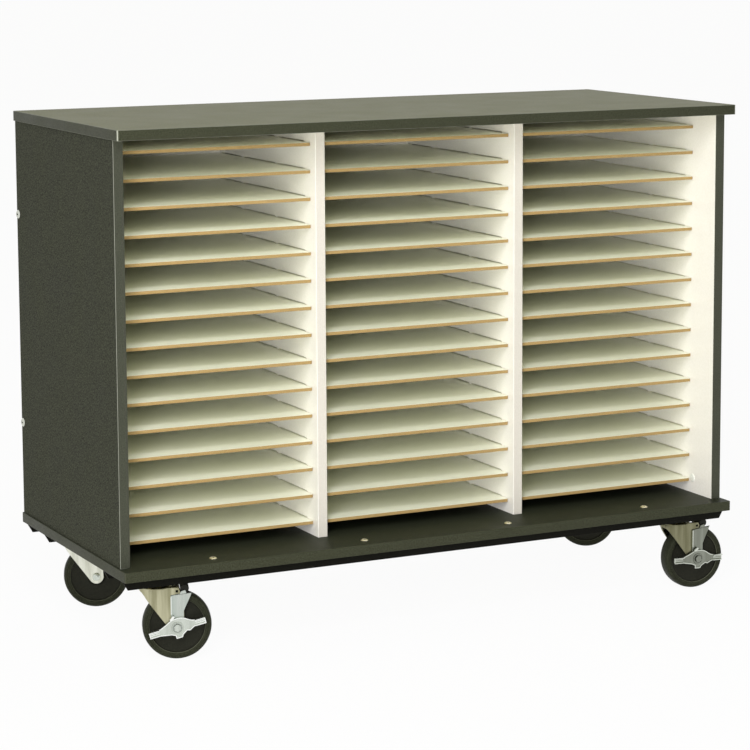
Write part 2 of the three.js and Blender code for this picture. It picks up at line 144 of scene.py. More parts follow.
floor_reach = 90.0
floor_color = (0.82, 0.82, 0.81, 1.0)
floor_glow_share = 0.95
floor_mesh = bpy.data.meshes.new("studio_floor")
floor_mesh.from_pydata(
    [(x * floor_reach, y * floor_reach, 0.0) for x, y in ((-1, -1), (1, -1), (1, 1), (-1, 1))],
    [], [(0, 1, 2, 3)])
floor = bpy.data.objects.new("studio_floor", floor_mesh)
bpy.context.scene.collection.objects.link(floor)
floor_paint = bpy.data.materials.new("white_floor")
floor_paint.use_nodes = True
floor_tree = floor_paint.node_tree
floor_tree.nodes.clear()
floor_matt = wire(floor_tree, "BsdfDiffuse", Color=floor_color)
floor_glow = wire(floor_tree, "Emission", Color=white, Strength=1.0)
glow_amount = wire(floor_tree, "Math", {"operation": "MULTIPLY"})
floor_tree.links.new(seen_or_mirrored(floor_tree), glow_amount.inputs[0])
glow_amount.inputs[1].default_value = floor_glow_share
floor_mix = combine(floor_tree, floor_matt.outputs[0], floor_glow.outputs[0], glow_amount.outputs[0])
floor_tree.links.new(floor_mix, wire(floor_tree, "OutputMaterial").inputs["Surface"])
floor_mesh.materials.append(floor_paint)


lamp_width = 1.6
lamp_color = (0.955, 0.95, 1.0)
cart_middle = (0, 0, 0.5)
lamps = {
    "low_lamp": ((-3.63, -5.22, 0.8), 206),
    "high_lamp": ((-3.65, -4.95, 2.8), 115),
    "top_lamp": ((-2.0, -3.4, 3.7), 108),
}


def soft_lamp(name, place, power):
    """A square area lamp at place that faces the cart. Gloss shows the white world in its stead."""
    lamp = bpy.data.lights.new(name, "AREA")
    lamp.size = lamp_width
    lamp.energy = power
    lamp.color = lamp_color
    holder = bpy.data.objects.new(name, lamp)
    holder.location = place
    holder.rotation_euler = (Vector(cart_middle) - Vector(place)).to_track_quat("-Z", "Y").to_euler()
    holder.visible_glossy = False
    bpy.context.scene.collection.objects.link(holder)


for name, (place, power) in lamps.items():
    soft_lamp(name, place, power)


# Top and base slabs: particle board faced with charcoal laminate, with a plastic band glued round
# all four edges and trimmed flush. The band's ends meet at a corner, which gets a painted highlight.
def grid_faces(rows, columns, close_rows=False, close_columns=False):
    """Quads between neighbouring points of a grid of rows and columns, going round where it is closed."""
    row = np.arange(rows if close_rows else rows - 1)[:, None]
    column = np.arange(columns if close_columns else columns - 1)
    next_row = (row + 1) % rows
    next_column = (column + 1) % columns
    corners = np.broadcast_arrays(
        row * columns + column, row * columns + next_column,
        next_row * columns + next_column, next_row * columns + column)
    return np.stack(corners, -1).reshape(-1, 4)


def put_together(*shells):
    """Several shells of points and faces as one: each shell's faces count on from the points before it."""
    starts = np.cumsum([0] + [len(points) for points, _ in shells])
    faces = [[int(i) + int(start) for i in face]
             for (_, group), start in zip(shells, starts) for face in group]
    return np.concatenate([points for points, _ in shells]), faces


def face_out(shape):
    """Faces every closed part of a mesh outwards. A part is reversed where its volume comes out below zero:
    a third of the sum, over its faces, of the area times the distance of the middle along the normal."""
    bmesh.ops.recalc_face_normals(shape, faces=shape.faces)
    waiting = set(shape.faces)
    while waiting:
        part = [waiting.pop()]
        start = part[0].calc_center_median()
        for face in part:
            linked = {other for edge in face.edges for other in edge.link_faces} & waiting
            part.extend(linked)
            waiting -= linked
        volume = sum(
            (face.calc_center_median() - start).dot(face.normal) * face.calc_area() for face in part)
        if volume < 0:
            bmesh.ops.reverse_faces(shape, faces=part)


merge_distance = 2e-6


def make_piece(name, shell, materials, body, replaced=(), kinds=None, painted_light=None, smooth=None):
    """A mesh object from points and faces. Points that coincide are merged, and faces turned out. kinds
    picks each face's material, a mask of painted highlight and painted shade is kept for each point, and
    edges sharper than smooth stay sharp."""
    points, faces = shell
    mesh = bpy.data.meshes.new(name)
    mesh.from_pydata(np.asarray(points, float).tolist(), [], [list(map(int, face)) for face in faces])
    for material in materials:
        mesh.materials.append(material)
    if kinds is not None:
        mesh.polygons.foreach_set("material_index", np.asarray(kinds, np.int32))
    if painted_light is not None:
        painted_layer = mesh.attributes.new("painted_light", "FLOAT", "POINT")
        painted_layer.data.foreach_set("value", np.asarray(painted_light, np.float32).ravel())
    shape = bmesh.new()
    shape.from_mesh(mesh)
    bmesh.ops.remove_doubles(shape, verts=shape.verts, dist=merge_distance)
    loose = [v for v in shape.verts if not v.link_faces]
    bmesh.ops.delete(shape, geom=loose, context="VERTS")
    face_out(shape)
    shape.to_mesh(mesh)
    shape.free()
    if smooth is not None:
        mesh.shade_smooth()
        mesh.set_sharp_from_angle(angle=math.radians(smooth))
    piece = bpy.data.objects.new(name, mesh)
    bpy.context.scene.collection.objects.link(piece)
    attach(piece, body)
    if replaced:
        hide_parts(*replaced)
    return piece


ease_shares = np.array((0.0, 0.45, 1.0))


def eased_board(low, high, ease):
    """A box with eased edges. A point p of its gridded faces goes to c + ease * (p - c) / |p - c|,
    where c is p held inside the box shrunk by ease. Its mask for a painted highlight is 1 halfway round an
    edge."""
    low = np.array(low)
    high = np.array(high)
    steps = ease * ease_shares
    ticks = [np.concatenate([low[k] + steps, high[k] - steps[::-1]]) for k in range(3)]
    sheets = []
    for k in range(3):
        u, v = np.meshgrid(ticks[(k + 1) % 3], ticks[(k + 2) % 3], indexing="ij")
        for level_k in (low[k], high[k]):
            sheet = np.empty((u.size, 3))
            sheet[:, k] = level_k
            sheet[:, (k + 1) % 3] = u.ravel()
            sheet[:, (k + 2) % 3] = v.ravel()
            sheets.append(sheet)
    points = np.concatenate(sheets)
    core = np.clip(points, low + ease, high - ease)
    away = points - core
    reach = np.linalg.norm(away, axis=1, keepdims=True)
    order = np.sort(np.abs(away), axis=1)
    painted_light = order[:, 1] / order[:, 2]
    count = 2 * len(steps)
    quads = grid_faces(count, count)
    faces = np.concatenate([quads + count * count * k for k in range(len(sheets))])
    return (core + ease * away / reach, faces), painted_light


def soften(corners, radius, steps=4):
    """Rounds a closed outline's corners: each becomes the quadratic curve between the points that lie
    radius before and after it, or 0.48 of its side where that is less."""
    most = 0.48
    corners = np.asarray(corners, float)
    radius = np.broadcast_to(radius, len(corners))[:, None]
    back = np.roll(corners, 1, 0) - corners
    on = np.roll(corners, -1, 0) - corners
    back_length = np.linalg.norm(back, axis=1, keepdims=True)
    on_length = np.linalg.norm(on, axis=1, keepdims=True)
    start = (corners + back / back_length * np.minimum(radius, most * back_length))[:, None]
    end = (corners + on / on_length * np.minimum(radius, most * on_length))[:, None]
    t = np.linspace(0, 1, steps + 1)[:, None]
    curve = (1 - t) ** 2 * start + 2 * t * (1 - t) * corners[:, None] + t ** 2 * end
    return curve.reshape(-1, 2)


def blend_colors(tree, amount, first, second):
    """A colour between two others, by amount."""
    mix = wire(tree, "Mix", {"data_type": "RGBA"})
    for index, value in ((0, amount), (6, first), (7, second)):
        if isinstance(value, bpy.types.NodeSocket):
            tree.links.new(value, mix.inputs[index])
        else:
            mix.inputs[index].default_value = value
    return mix.outputs[2]


def stretch(tree, value, low, high, to_low=0.0, to_high=1.0):
    """Maps low to high onto to_low to to_high, held at both ends."""
    ranged = wire(tree, "MapRange", From_Min=low, From_Max=high, To_Min=to_low, To_Max=to_high, Value=value)
    return ranged.outputs["Result"]


noise_range = (0.3, 0.7)
painted_light_range = (0.1, 0.6)
grains_in_cloud = 40
gloss_tint = (1.0, 1.0, 0.88, 1.0)


def mottled(name, dark, light, grain, roughness, relief, cloud=0.1, gloss=0.5, painted_light_color=None):
    """A finish that wanders between two colours at the size of its grain and, by the cloud share, at the
    size of a cloud. Its roughness follows the clouds, relief is the height of its fine bumps in metres,
    gloss is the level of its shine, and the last argument is a painted highlight's colour, laid on where
    the mesh's painted-light mask is 1."""
    material = bpy.data.materials.new(name)
    material.use_nodes = True
    tree = material.node_tree
    shader = tree.nodes["Principled BSDF"]
    place = wire(tree, "TexCoord").outputs["Object"]
    fine = wire(tree, "TexNoise", Vector=place, Scale=1 / grain, Detail=2.0).outputs["Fac"]
    cloud_scale = 1 / (grains_in_cloud * grain)
    broad = wire(tree, "TexNoise", Vector=place, Scale=cloud_scale, Detail=3.0).outputs["Fac"]
    grains = stretch(tree, fine, *noise_range)
    clouds = stretch(tree, broad, *noise_range)
    share = wire(tree, "Mix", {"data_type": "FLOAT"}, Factor=cloud)
    tree.links.new(grains, share.inputs["A"])
    tree.links.new(clouds, share.inputs["B"])
    color = blend_colors(tree, share.outputs["Result"], tone(*dark), tone(*light))
    # Painted highlight: the mesh's painted-light mask mixes a pale colour in on edges and arrises.
    if painted_light_color is not None:
        painted_mask = wire(tree, "Attribute", {"attribute_name": "painted_light"}).outputs["Fac"]
        color = blend_colors(tree, stretch(tree, painted_mask, *painted_light_range), color, tone(*painted_light_color))
    tree.links.new(color, shader.inputs["Base Color"])
    tree.links.new(stretch(tree, broad, *noise_range, *roughness), shader.inputs["Roughness"])
    shader.inputs["Specular IOR Level"].default_value = gloss
    shader.inputs["Specular Tint"].default_value = gloss_tint
    bumps = wire(tree, "Bump", Height=fine, Distance=relief, Strength=1.0)
    tree.links.new(bumps.outputs["Normal"], shader.inputs["Normal"])
    return material


# Painted light: top and base are one charcoal laminate in two copies, the top's lighter and yellower for a
# painted sheen, the base's darker for painted shade.
slab_lit_and_shaded_laminates = {
    "top": mottled("top_laminate_painted_sheen", (50, 51, 6), (88, 89, 30), 0.0018, (0.46, 0.5), 0.00005,
                   cloud=0.04, gloss=0.3),
    "base": mottled("base_laminate_painted_shade", (25, 28, 19), (50, 53, 40), 0.0018, (0.5, 0.56), 0.00005, gloss=0.14),
}
slab_backer = mottled("white_backer", (238, 237, 215), (245, 244, 224), 0.003, (0.4, 0.48), 0.00001)
# The band's pale corners and arrises are a painted highlight, weaker on the base slab.
slab_band = mottled("charcoal_band", (32, 34, 22), (64, 66, 51), 0.0022, (0.42, 0.52), 0.00004, gloss=0.14,
                    painted_light_color=(150, 152, 138))
slab_highlight_share = {"top": 1.0, "base": 0.16}
slab_ease = 0.0003
band_ease = 0.0008
band_thickness = 0.002
slab_corner = 0.003


def band_ring(low, high, thickness, corner, ease):
    """The band: a softened rectangle carried round a rounded one. A point is the path's point plus its
    outward normal times the section's reach, at the section's height. Its painted highlight is 1 halfway
    round each corner, and half as much along the two outer arrises."""
    turn_steps, arris_steps = 7, 5
    angle = np.arange(4)[:, None] * math.pi / 2 + np.linspace(0, math.pi / 2, turn_steps)
    normals = np.stack([np.cos(angle), np.sin(angle)], -1)
    middle = (low + high)[:2] / 2
    centres = np.array([(1, 1), (-1, 1), (-1, -1), (1, -1)]) * ((high - low)[:2] / 2 - corner)
    path = (middle + centres[:, None] + corner * normals).reshape(-1, 2)
    normals = normals.reshape(-1, 2)
    section = soften(
        [(-thickness, low[2]), (0, low[2]), (0, high[2]), (-thickness, high[2])],
        (ease / 8, ease, ease, ease / 8))
    flat = path[:, None] + section[None, :, :1] * normals[:, None]
    up = np.broadcast_to(section[None, :, 1:], (*flat.shape[:2], 1))
    points = np.concatenate([flat, up], -1).reshape(-1, 3)
    on_arris = 1 - np.abs(np.linspace(-1, 1, arris_steps))
    arris = np.concatenate([0 * on_arris, on_arris, on_arris, 0 * on_arris])
    turning = np.tile(1 - np.abs(np.linspace(-1, 1, turn_steps)), 4)
    painted_light = np.maximum(arris[None, :] * 0.5, turning[:, None])
    return (points, grid_faces(len(path), len(section), True, True)), painted_light


for slab in ("top", "base"):
    low, high = map(np.array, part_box(slab + "_panel"))
    core, _ = eased_board(low, high, slab_ease)
    underside = core[0][core[1]].mean(1)[:, 2] < low[2] + slab_ease / 2
    make_piece(slab + "_slab", core, [slab_lit_and_shaded_laminates[slab], slab_backer], "cabinet",
               [slab + "_panel"], kinds=underside.astype(int))
    low, high = map(np.array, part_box(slab + "_edge_band"))
    ring, ring_highlight = band_ring(low, high, band_thickness, slab_corner, band_ease)
    make_piece(slab + "_slab_band", ring, [slab_band], "cabinet",
               [slab + "_edge_band"], painted_light=ring_highlight * slab_highlight_share[slab], smooth=40)


# Shelves: 45 thin boards with white faces and raw tan edges, three at each of fifteen heights. Each
# has three tabs a side, which slide into slots routed in the panels and the dividers.
def outward(outline):
    """A closed outline's unit normals: the mean direction of the two sides at each corner, turned out by
    a quarter turn. The outline's signed area tells which way is out."""
    step = np.roll(outline, -1, 0) - outline
    step = step / np.maximum(np.linalg.norm(step, axis=1, keepdims=True), 1e-9)
    tangent = step + np.roll(step, 1, 0)
    tangent = tangent / np.maximum(np.linalg.norm(tangent, axis=1, keepdims=True), 1e-9)
    x, y = outline.T
    turning = np.sign(np.sum(x * np.roll(y, -1) - y * np.roll(x, -1)))
    return np.stack([tangent[:, 1], -tangent[:, 0]], -1) * turning


def plate(outline, low, high, ease):
    """A flat plate from a closed outline. Near both faces the outline is drawn in along its normals by
    ease * (1 - sin a), at ease * (1 - cos a) from the face, as a goes from 0 to a quarter turn."""
    outline = np.asarray(outline, float)
    normal = outward(outline)
    a = np.linspace(0, math.pi / 2, 4)
    drawn_in = ease * (1 - np.sin(a))
    from_face = ease * (1 - np.cos(a))
    inset = np.concatenate([drawn_in, drawn_in[::-1]])
    height = np.concatenate([low + from_face, high - from_face[::-1]])
    rings = outline[None] - inset[:, None, None] * normal[None]
    up = np.broadcast_to(height[:, None, None], (len(height), len(outline), 1))
    points = np.concatenate([rings, up], -1).reshape(-1, 3)
    count = len(outline)
    sides = grid_faces(len(height), count, close_columns=True).tolist()
    last = len(points) - count
    return points, sides + [list(range(count)), list(range(last, last + count))]


shelf_face = mottled("shelf_face", (248, 249, 228), (252, 253, 236), 0.003, (0.34, 0.42), 0.00001)
shelf_edge = mottled("raw_shelf_edge", (143, 117, 69), (173, 147, 98), 0.0009, (0.7, 0.8), 0.00008)
tier_count = 15
shelf_side_gap = 0.00025
shelf_ease = 0.0005
shelf_corner = 0.004
tab_reach = 0.005
tab_end_gap = 0.0025
slot_front_setback = 0.02675
slot_rear_setback = 0.00525
slot_bridge = 0.008
slot_length_shares = (0.333, 0.397, 0.27)

tier_low, tier_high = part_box("shelf_tier_01")
divider_boxes = [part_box("left_divider"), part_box("right_divider")]
side_inner = tier_high.x - tab_reach
column_edges = [-side_inner, divider_boxes[0][0].x, divider_boxes[0][1].x,
                divider_boxes[1][0].x, divider_boxes[1][1].x, side_inner]
divider_half = (divider_boxes[0][1].x - divider_boxes[0][0].x) / 2
slot_run = tier_high.y - slot_rear_setback - tier_low.y - slot_front_setback - 2 * slot_bridge
slot_spans = []
slot_start = tier_low.y + slot_front_setback
for share in slot_length_shares:
    slot_spans.append((slot_start, slot_start + share * slot_run))
    slot_start += share * slot_run + slot_bridge


def shelf_outline(x0, x1, left_tab, right_tab):
    """The shelf from above: a rectangle with three tabs a side, each a little shorter than its slot."""
    right_side = [
        corner for y0, y1 in slot_spans
        for corner in ((x1, y0 + tab_end_gap), (x1 + right_tab, y0 + tab_end_gap),
                       (x1 + right_tab, y1 - tab_end_gap), (x1, y1 - tab_end_gap))]
    left_side = [
        corner for y0, y1 in reversed(slot_spans)
        for corner in ((x0, y1 - tab_end_gap), (x0 - left_tab, y1 - tab_end_gap),
                       (x0 - left_tab, y0 + tab_end_gap), (x0, y0 + tab_end_gap))]
    corners = [(x0, tier_low.y), (x1, tier_low.y), *right_side,
               (x1, tier_high.y), (x0, tier_high.y), *left_side]
    radii = np.full(len(corners), shelf_corner / 4)
    radii[:2] = shelf_corner
    return soften(corners, radii)


for tier in range(1, tier_count + 1):
    node = f"shelf_tier_{tier:02d}"
    low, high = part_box(node)
    for column, place_name in enumerate(("left", "middle", "right")):
        left_tab = tab_reach if column == 0 else divider_half
        right_tab = tab_reach if column == 2 else divider_half
        outline = shelf_outline(column_edges[2 * column] + shelf_side_gap,
                                column_edges[2 * column + 1] - shelf_side_gap, left_tab, right_tab)
        points, faces = plate(outline, low.z, high.z, shelf_ease)
        kinds = np.ones(len(faces), int)
        kinds[-2:] = 0
        make_piece(f"{place_name}_shelf_{tier:02d}", (points, faces), [shelf_face, shelf_edge],
                   "cabinet", [node], kinds=kinds)


# Side panels: charcoal laminate outside and white inside, with blind slots routed in the white face
# and a charcoal plastic band on the front edge, screwed to the back and fixed down with cam fittings.
def routed_board(face_x, floor_x, back_x, y_range, z_range, floors, height):
    """A board on a grid over y and z. The rows follow each slot's floor and ceiling, whose half height
    is r sin a where the distance from the slot's end is r (1 - cos a), so that slots end in half circles.
    Slots go down to floor_x, or right through where that is back_x. Its kinds are 0 on the grid's face, 1
    on the back and the edges, and 2 in the slots."""
    r = height / 2
    a = np.linspace(0, math.pi / 2, 5)
    run_in = r * (1 - np.cos(a))
    columns = [np.array([y_range[0]])]
    halves = [np.zeros(1)]
    for y0, y1 in slot_spans:
        columns += [y0 + run_in, y1 - run_in[::-1]]
        halves += [r * np.sin(a), r * np.sin(a)[::-1]]
    y = np.concatenate([*columns, [y_range[1]]])
    half = np.concatenate([*halves, [0.0]])
    middles = np.sort(floors) + r
    bands = np.stack([middles[:, None] - half, middles[:, None] + half], 1).reshape(-1, len(y))
    z = np.concatenate([np.full((1, len(y)), z_range[0]), bands, np.full((1, len(y)), z_range[1])])
    rows, count = z.shape
    index = np.arange(rows * count).reshape(rows, count)
    sunk_row = np.arange(rows - 1) % 2 == 1
    run = 2 * len(a)
    sunk_column = (np.arange(count - 1) - 1) % run != run - 1
    sunk_column[0] = sunk_column[-1] = False
    sunk = sunk_row[:, None] & sunk_column[None]

    def cells(layer, chosen):
        """The chosen quads of one layer of the grid."""
        start = index + layer * index.size
        quads = np.stack([start[:-1, :-1], start[:-1, 1:], start[1:, 1:], start[1:, :-1]], -1)
        return quads[chosen]

    def walls(edges, first, second):
        """Quads between the same edges of two layers."""
        one, two = edges
        near, far = first * index.size, second * index.size
        return np.stack([one + near, two + near, two + far, one + far], -1).reshape(-1, 4)

    through = floor_x == back_x
    rims = [(index[r_, :-1][sunk_column], index[r_, 1:][sunk_column]) for r_ in range(1, rows - 1)]
    rim = (np.concatenate([one for one, _ in rims]), np.concatenate([two for _, two in rims]))
    borders = [(index[0, :-1], index[0, 1:]), (index[-1, :-1], index[-1, 1:]),
               (index[:-1, 0], index[1:, 0]), (index[:-1, -1], index[1:, -1])]
    everywhere = np.ones_like(sunk)
    groups = [
        (cells(0, ~sunk), 0),
        (cells(2, ~sunk if through else everywhere), 1),
        (walls(rim, 0, 2 if through else 1), 2),
        *[(walls(edges, 0, 2), 1) for edges in borders],
    ]
    if not through:
        groups.append((cells(1, sunk), 2))
    layers = [np.stack([np.full(z.size, x), np.tile(y, rows), z.ravel()], -1)
              for x in (face_x, floor_x, back_x)]
    faces = np.concatenate([quads for quads, _ in groups])
    kinds = np.concatenate([np.full(len(quads), kind) for quads, kind in groups])
    return (np.concatenate(layers), faces), kinds


panel_laminate = mottled("panel_laminate", (5, 7, 3), (75, 77, 63), 0.0026, (0.62, 0.7), 0.00006,
                         gloss=0.06)
white_face = mottled("white_melamine", (238, 235, 224), (245, 242, 233), 0.003, (0.3, 0.38), 0.00001)
routed_core = mottled("routed_board", (236, 233, 206), (245, 243, 220), 0.0012, (0.75, 0.85), 0.0001)
# The band's pale outer arris colour is a painted highlight.
panel_band = mottled("panel_band", (36, 38, 30), (74, 76, 64), 0.0015, (0.4, 0.5), 0.00004, gloss=0.2,
                     painted_light_color=(160, 162, 150))
panel_band_thickness = 0.0012
slot_height = 0.008
slot_depth = 0.0055
panel_band_ease = 0.0009
highlight_margin = 1.5 * panel_band_ease
tier_floors = np.array([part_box(f"shelf_tier_{tier:02d}")[0].z for tier in range(1, tier_count + 1)])

for side, name in ((-1, "left"), (1, "right")):
    node = name + "_side_panel"
    low, high = map(np.array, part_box(node))
    inner, outer = (high[0], low[0]) if side < 0 else (low[0], high[0])
    front = low[1] + panel_band_thickness
    board, kinds = routed_board(inner, inner + side * slot_depth, outer, (front, high[1]),
                                (low[2], high[2]), tier_floors, slot_height)
    make_piece(name + "_panel", board, [white_face, panel_laminate, routed_core], "cabinet",
               [node], kinds=kinds)
    # Painted highlight on the band's outer arris only.
    strip, strip_highlight = eased_board(low, (high[0], front, high[2]), panel_band_ease)
    outer_only = np.abs(strip[0][:, 0] - outer) < highlight_margin
    make_piece(name + "_panel_band", strip, [panel_band], "cabinet",
               painted_light=strip_highlight * outer_only)


# Dividers: two white melamine boards with the same slots cut right through, for the tabs of the shelves on
# both sides, and a cream plastic band glued on in front.
# The cream band's near-white edges are a painted highlight.
divider_band = mottled("cream_band", (195, 190, 178), (206, 201, 190), 0.002, (0.32, 0.4), 0.00002,
                       painted_light_color=(250, 249, 242))
for name in ("left", "right"):
    node = name + "_divider"
    low, high = map(np.array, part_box(node))
    front = low[1] + panel_band_thickness
    board, kinds = routed_board(low[0], high[0], high[0], (front, high[1]), (low[2], high[2]),
                                tier_floors, slot_height)
    make_piece(name + "_divider_board", board, [white_face, white_face, routed_core], "cabinet",
               [node], kinds=kinds)
    strip, strip_highlight = eased_board(low, (high[0], front, high[2]), panel_band_ease)
    make_piece(name + "_divider_band", strip, [divider_band], "cabinet",
               painted_light=strip_highlight)


# Back: one laminated board between the side panels, white inside and charcoal outside, held by the screws
# through the sides.
low, high = map(np.array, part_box("back_panel"))
(back_points, back_faces), _ = eased_board(low, high, slab_ease)
back_centres = back_points[back_faces].mean(1)
back_kinds = (back_centres[:, 1] > (low[1] + high[1]) / 2).astype(int)
make_piece("back_board", (back_points, back_faces), [white_face, panel_laminate], "cabinet",
           ["back_panel"], kinds=back_kinds)


# Rails: two steel channels under the base, bent with their flanges down, powder coated in black. Their
# ends are cut on a slant, and bolts through the base hold them.
def turned(profile, sides, axis, closed=False):
    """A profile of (radius, place) pairs turned about an axis. At each of the equal angles a, a point lies
    at radius cos a and radius sin a across the axis, and at place along it."""
    profile = np.asarray(profile, float)
    angle = np.linspace(0, 2 * math.pi, sides, endpoint=False)
    radius, place = profile.T
    ring = np.stack([
        radius[:, None] * np.cos(angle), radius[:, None] * np.sin(angle),
        np.broadcast_to(place[:, None], (len(place), sides))], -1)
    order = {"x": [2, 0, 1], "y": [1, 2, 0], "z": [0, 1, 2]}[axis]
    return ring.reshape(-1, 3)[:, order], grid_faces(len(profile), sides, closed, True)


powder_coat = mottled("black_powder_coat", (7, 7, 5), (16, 16, 12), 0.0014, (0.4, 0.55), 0.00008,
                      gloss=0.08)
rail_wall = 0.003
rail_bend = 0.005
rail_bend_shares = np.array((0.1, 1, 1, 0.1, 0.1, 0.4, 0.4, 0.1))
rail_end_taper = 0.011

for name in ("front", "rear"):
    node = name + "_rail"
    low, high = map(np.array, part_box(node))
    y0, y1, z0, z1 = low[1], high[1], low[2], high[2]
    section = soften(
        [(y0, z0), (y0, z1), (y1, z1), (y1, z0), (y1 - rail_wall, z0), (y1 - rail_wall, z1 - rail_wall),
         (y0 + rail_wall, z1 - rail_wall), (y0 + rail_wall, z0)],
        rail_bend_shares * rail_bend)
    reach = high[0] - rail_end_taper * (z1 - section[:, 1]) / (z1 - z0)
    stations = [np.stack([side * reach, section[:, 0], section[:, 1]], -1) for side in (-1, 1)]
    count = len(section)
    ends = [list(range(count)), list(range(count, 2 * count))]
    faces = grid_faces(2, count, close_columns=True).tolist() + ends
    make_piece(name + "_channel", (np.concatenate(stations), faces), [powder_coat], "cabinet",
               [node], smooth=35)


# Screws, bolts and caps: dome-headed zinc screws hold the sides to the back, and bolts with nuts hold the
# base to the front rail. Their heads have cross recesses, darkened with painted shade. White caps are
# pushed in at the base.
def crossed_dome(radius, height, slot_half, depth):
    """A domed head over the plane z = 0: height * sqrt(1 - (fullness s) ^ 2) at s radii from the middle,
    less a cross whose arms are slot_half wide each way and end at arm_reach radii. Its mask of painted
    shade is 1 in the cross."""
    rings, sides = 13, 48
    fullness = 0.96
    arm_reach, arm_fade, wall_fade = 0.62, 0.12, 1.6
    s = np.linspace(0, 1, rings)[:, None]
    angle = np.linspace(0, 2 * math.pi, sides, endpoint=False)
    x = radius * s * np.cos(angle)
    y = radius * s * np.sin(angle)
    across = np.minimum(np.abs(x), np.abs(y))
    arm = np.clip(wall_fade - across / slot_half, 0, 1) * np.clip((arm_reach - s) / arm_fade, 0, 1)
    z = height * np.sqrt(1 - (fullness * s) ** 2) - depth * arm
    head = np.stack([x, y, z], -1).reshape(-1, 3)
    rim = head[-sides:] * (1, 1, 0)
    points = np.concatenate([head, rim])
    base = [list(range(len(head), len(points)))]
    faces = grid_faces(rings + 1, sides, close_columns=True).tolist() + base
    return (points, faces), np.concatenate([arm.ravel(), np.zeros(sides)])


tint_bands = (90.0, 90.0, 9.0)
tint_range = (0.38, 0.62)
streak_run = 12.0
spangle_scale = 900.0
spangle_relief = 0.00003
plating_painted_light_range = (0.1, 0.8)


def metal(name, warm, cool, roughness, streak, painted_light_color=None):
    """A plated metal. Its tint drifts between two colours in soft bands that run up and down, and fine
    streaks the same way vary its roughness. The last argument is a colour painted where the mesh's
    painted-light mask is 1: painted shade in screw recesses and painted highlight on pedal and bracket
    edges."""
    material = bpy.data.materials.new(name)
    material.use_nodes = True
    tree = material.node_tree
    shader = tree.nodes["Principled BSDF"]
    place = wire(tree, "TexCoord").outputs["Object"]
    banded = wire(tree, "Mapping", Vector=place, Scale=tint_bands).outputs["Vector"]
    drift = wire(tree, "TexNoise", Vector=banded, Scale=1.0, Detail=2.0).outputs["Fac"]
    spangle = wire(tree, "TexNoise", Vector=place, Scale=spangle_scale, Detail=3.0).outputs["Fac"]
    drawn = wire(tree, "Mapping", Vector=place, Scale=(streak, streak, streak_run)).outputs["Vector"]
    lines = wire(tree, "TexNoise", Vector=drawn, Scale=1.0, Detail=2.0).outputs["Fac"]
    color = blend_colors(tree, stretch(tree, drift, *tint_range), tone(*warm), tone(*cool))
    # Painted light: the mesh's mask mixes in its painted colour, dark for shade in recesses and pale for
    # highlights on edges.
    if painted_light_color is not None:
        painted_mask = wire(tree, "Attribute", {"attribute_name": "painted_light"}).outputs["Fac"]
        color = blend_colors(tree, stretch(tree, painted_mask, *plating_painted_light_range), color, tone(*painted_light_color))
    tree.links.new(color, shader.inputs["Base Color"])
    tree.links.new(stretch(tree, lines, *noise_range, *roughness), shader.inputs["Roughness"])
    shader.inputs["Metallic"].default_value = 1.0
    bumps = wire(tree, "Bump", Height=spangle, Distance=spangle_relief, Strength=1.0)
    tree.links.new(bumps.outputs["Normal"], shader.inputs["Normal"])
    return material


# The dark colours of the two screw finishes are painted shade in the cross recesses.
yellow_zinc = metal("yellow_zinc", (250, 240, 208), (240, 234, 212), (0.18, 0.3), 420.0, painted_light_color=(74, 66, 48))
grey_zinc = metal("grey_zinc", (204, 206, 194), (216, 218, 208), (0.18, 0.3), 420.0, painted_light_color=(70, 72, 64))
white_plastic = mottled("white_plastic", (228, 231, 219), (238, 240, 230), 0.004, (0.28, 0.36), 0.00001)
recess_share = 0.14
recess_depth_share = 0.55

for side, name in ((-1, "left"), (1, "right")):
    panel_low, panel_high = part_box(name + "_side_panel")
    face = panel_high.x if side > 0 else panel_low.x
    for level_name in ("lower", "upper"):
        node = f"{name}_{level_name}_side_screw"
        low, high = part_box(node)
        rise = abs((high.x if side > 0 else low.x) - face)
        radius = (high.z - low.z) / 2
        head, recess_shade = crossed_dome(radius, rise, radius * recess_share, rise * recess_depth_share)
        middle = np.array((face, (low.y + high.y) / 2, (low.z + high.z) / 2))
        placed = head[0][:, [2, 0, 1]] * (side, 1, 1) + middle
        make_piece(node + "_head", (placed, head[1]), [grey_zinc], "cabinet", [node],
                   painted_light=recess_shade, smooth=50)

nut_height = 0.005
nut_radius = 0.00575
nut_face_share = 0.86
nut_chamfer_share = 0.12
shank_radius = 0.003
shank_tip_share = 0.8
shank_gap = 0.0001
base_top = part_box("base_panel")[1].z
rail_nut_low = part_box("front_rail")[1].z - rail_wall - nut_height
rail_nut, nut_faces = turned(
    [(0, 0), (nut_radius * nut_face_share, 0), (nut_radius, nut_height * nut_chamfer_share),
     (nut_radius, nut_height * (1 - nut_chamfer_share)), (nut_radius * nut_face_share, nut_height),
     (0, nut_height)], 6, "z")

for number in range(1, 5):
    node = f"rail_bolt_{number}"
    low, high = map(np.array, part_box(node))
    radius = (high[0] - low[0]) / 2
    rise = high[2] - base_top
    tip = low[2] - base_top
    head, recess_shade = crossed_dome(radius, rise, radius * recess_share, rise * recess_depth_share)
    shank = turned([(0, tip), (shank_radius * shank_tip_share, tip), (shank_radius, tip + shank_radius / 3),
                    (shank_radius, -shank_gap), (0, -shank_gap)], 24, "z")
    bolt = put_together(head, shank, (rail_nut + (0, 0, rail_nut_low - base_top), nut_faces))
    bolt_recess_shade = np.concatenate([recess_shade, np.zeros(len(bolt[0]) - len(recess_shade))])
    middle = np.array((*(low + high)[:2] / 2, base_top))
    make_piece(node + "_set", (bolt[0] + middle, bolt[1]), [yellow_zinc], "cabinet", [node],
               painted_light=bolt_recess_shade, smooth=35)

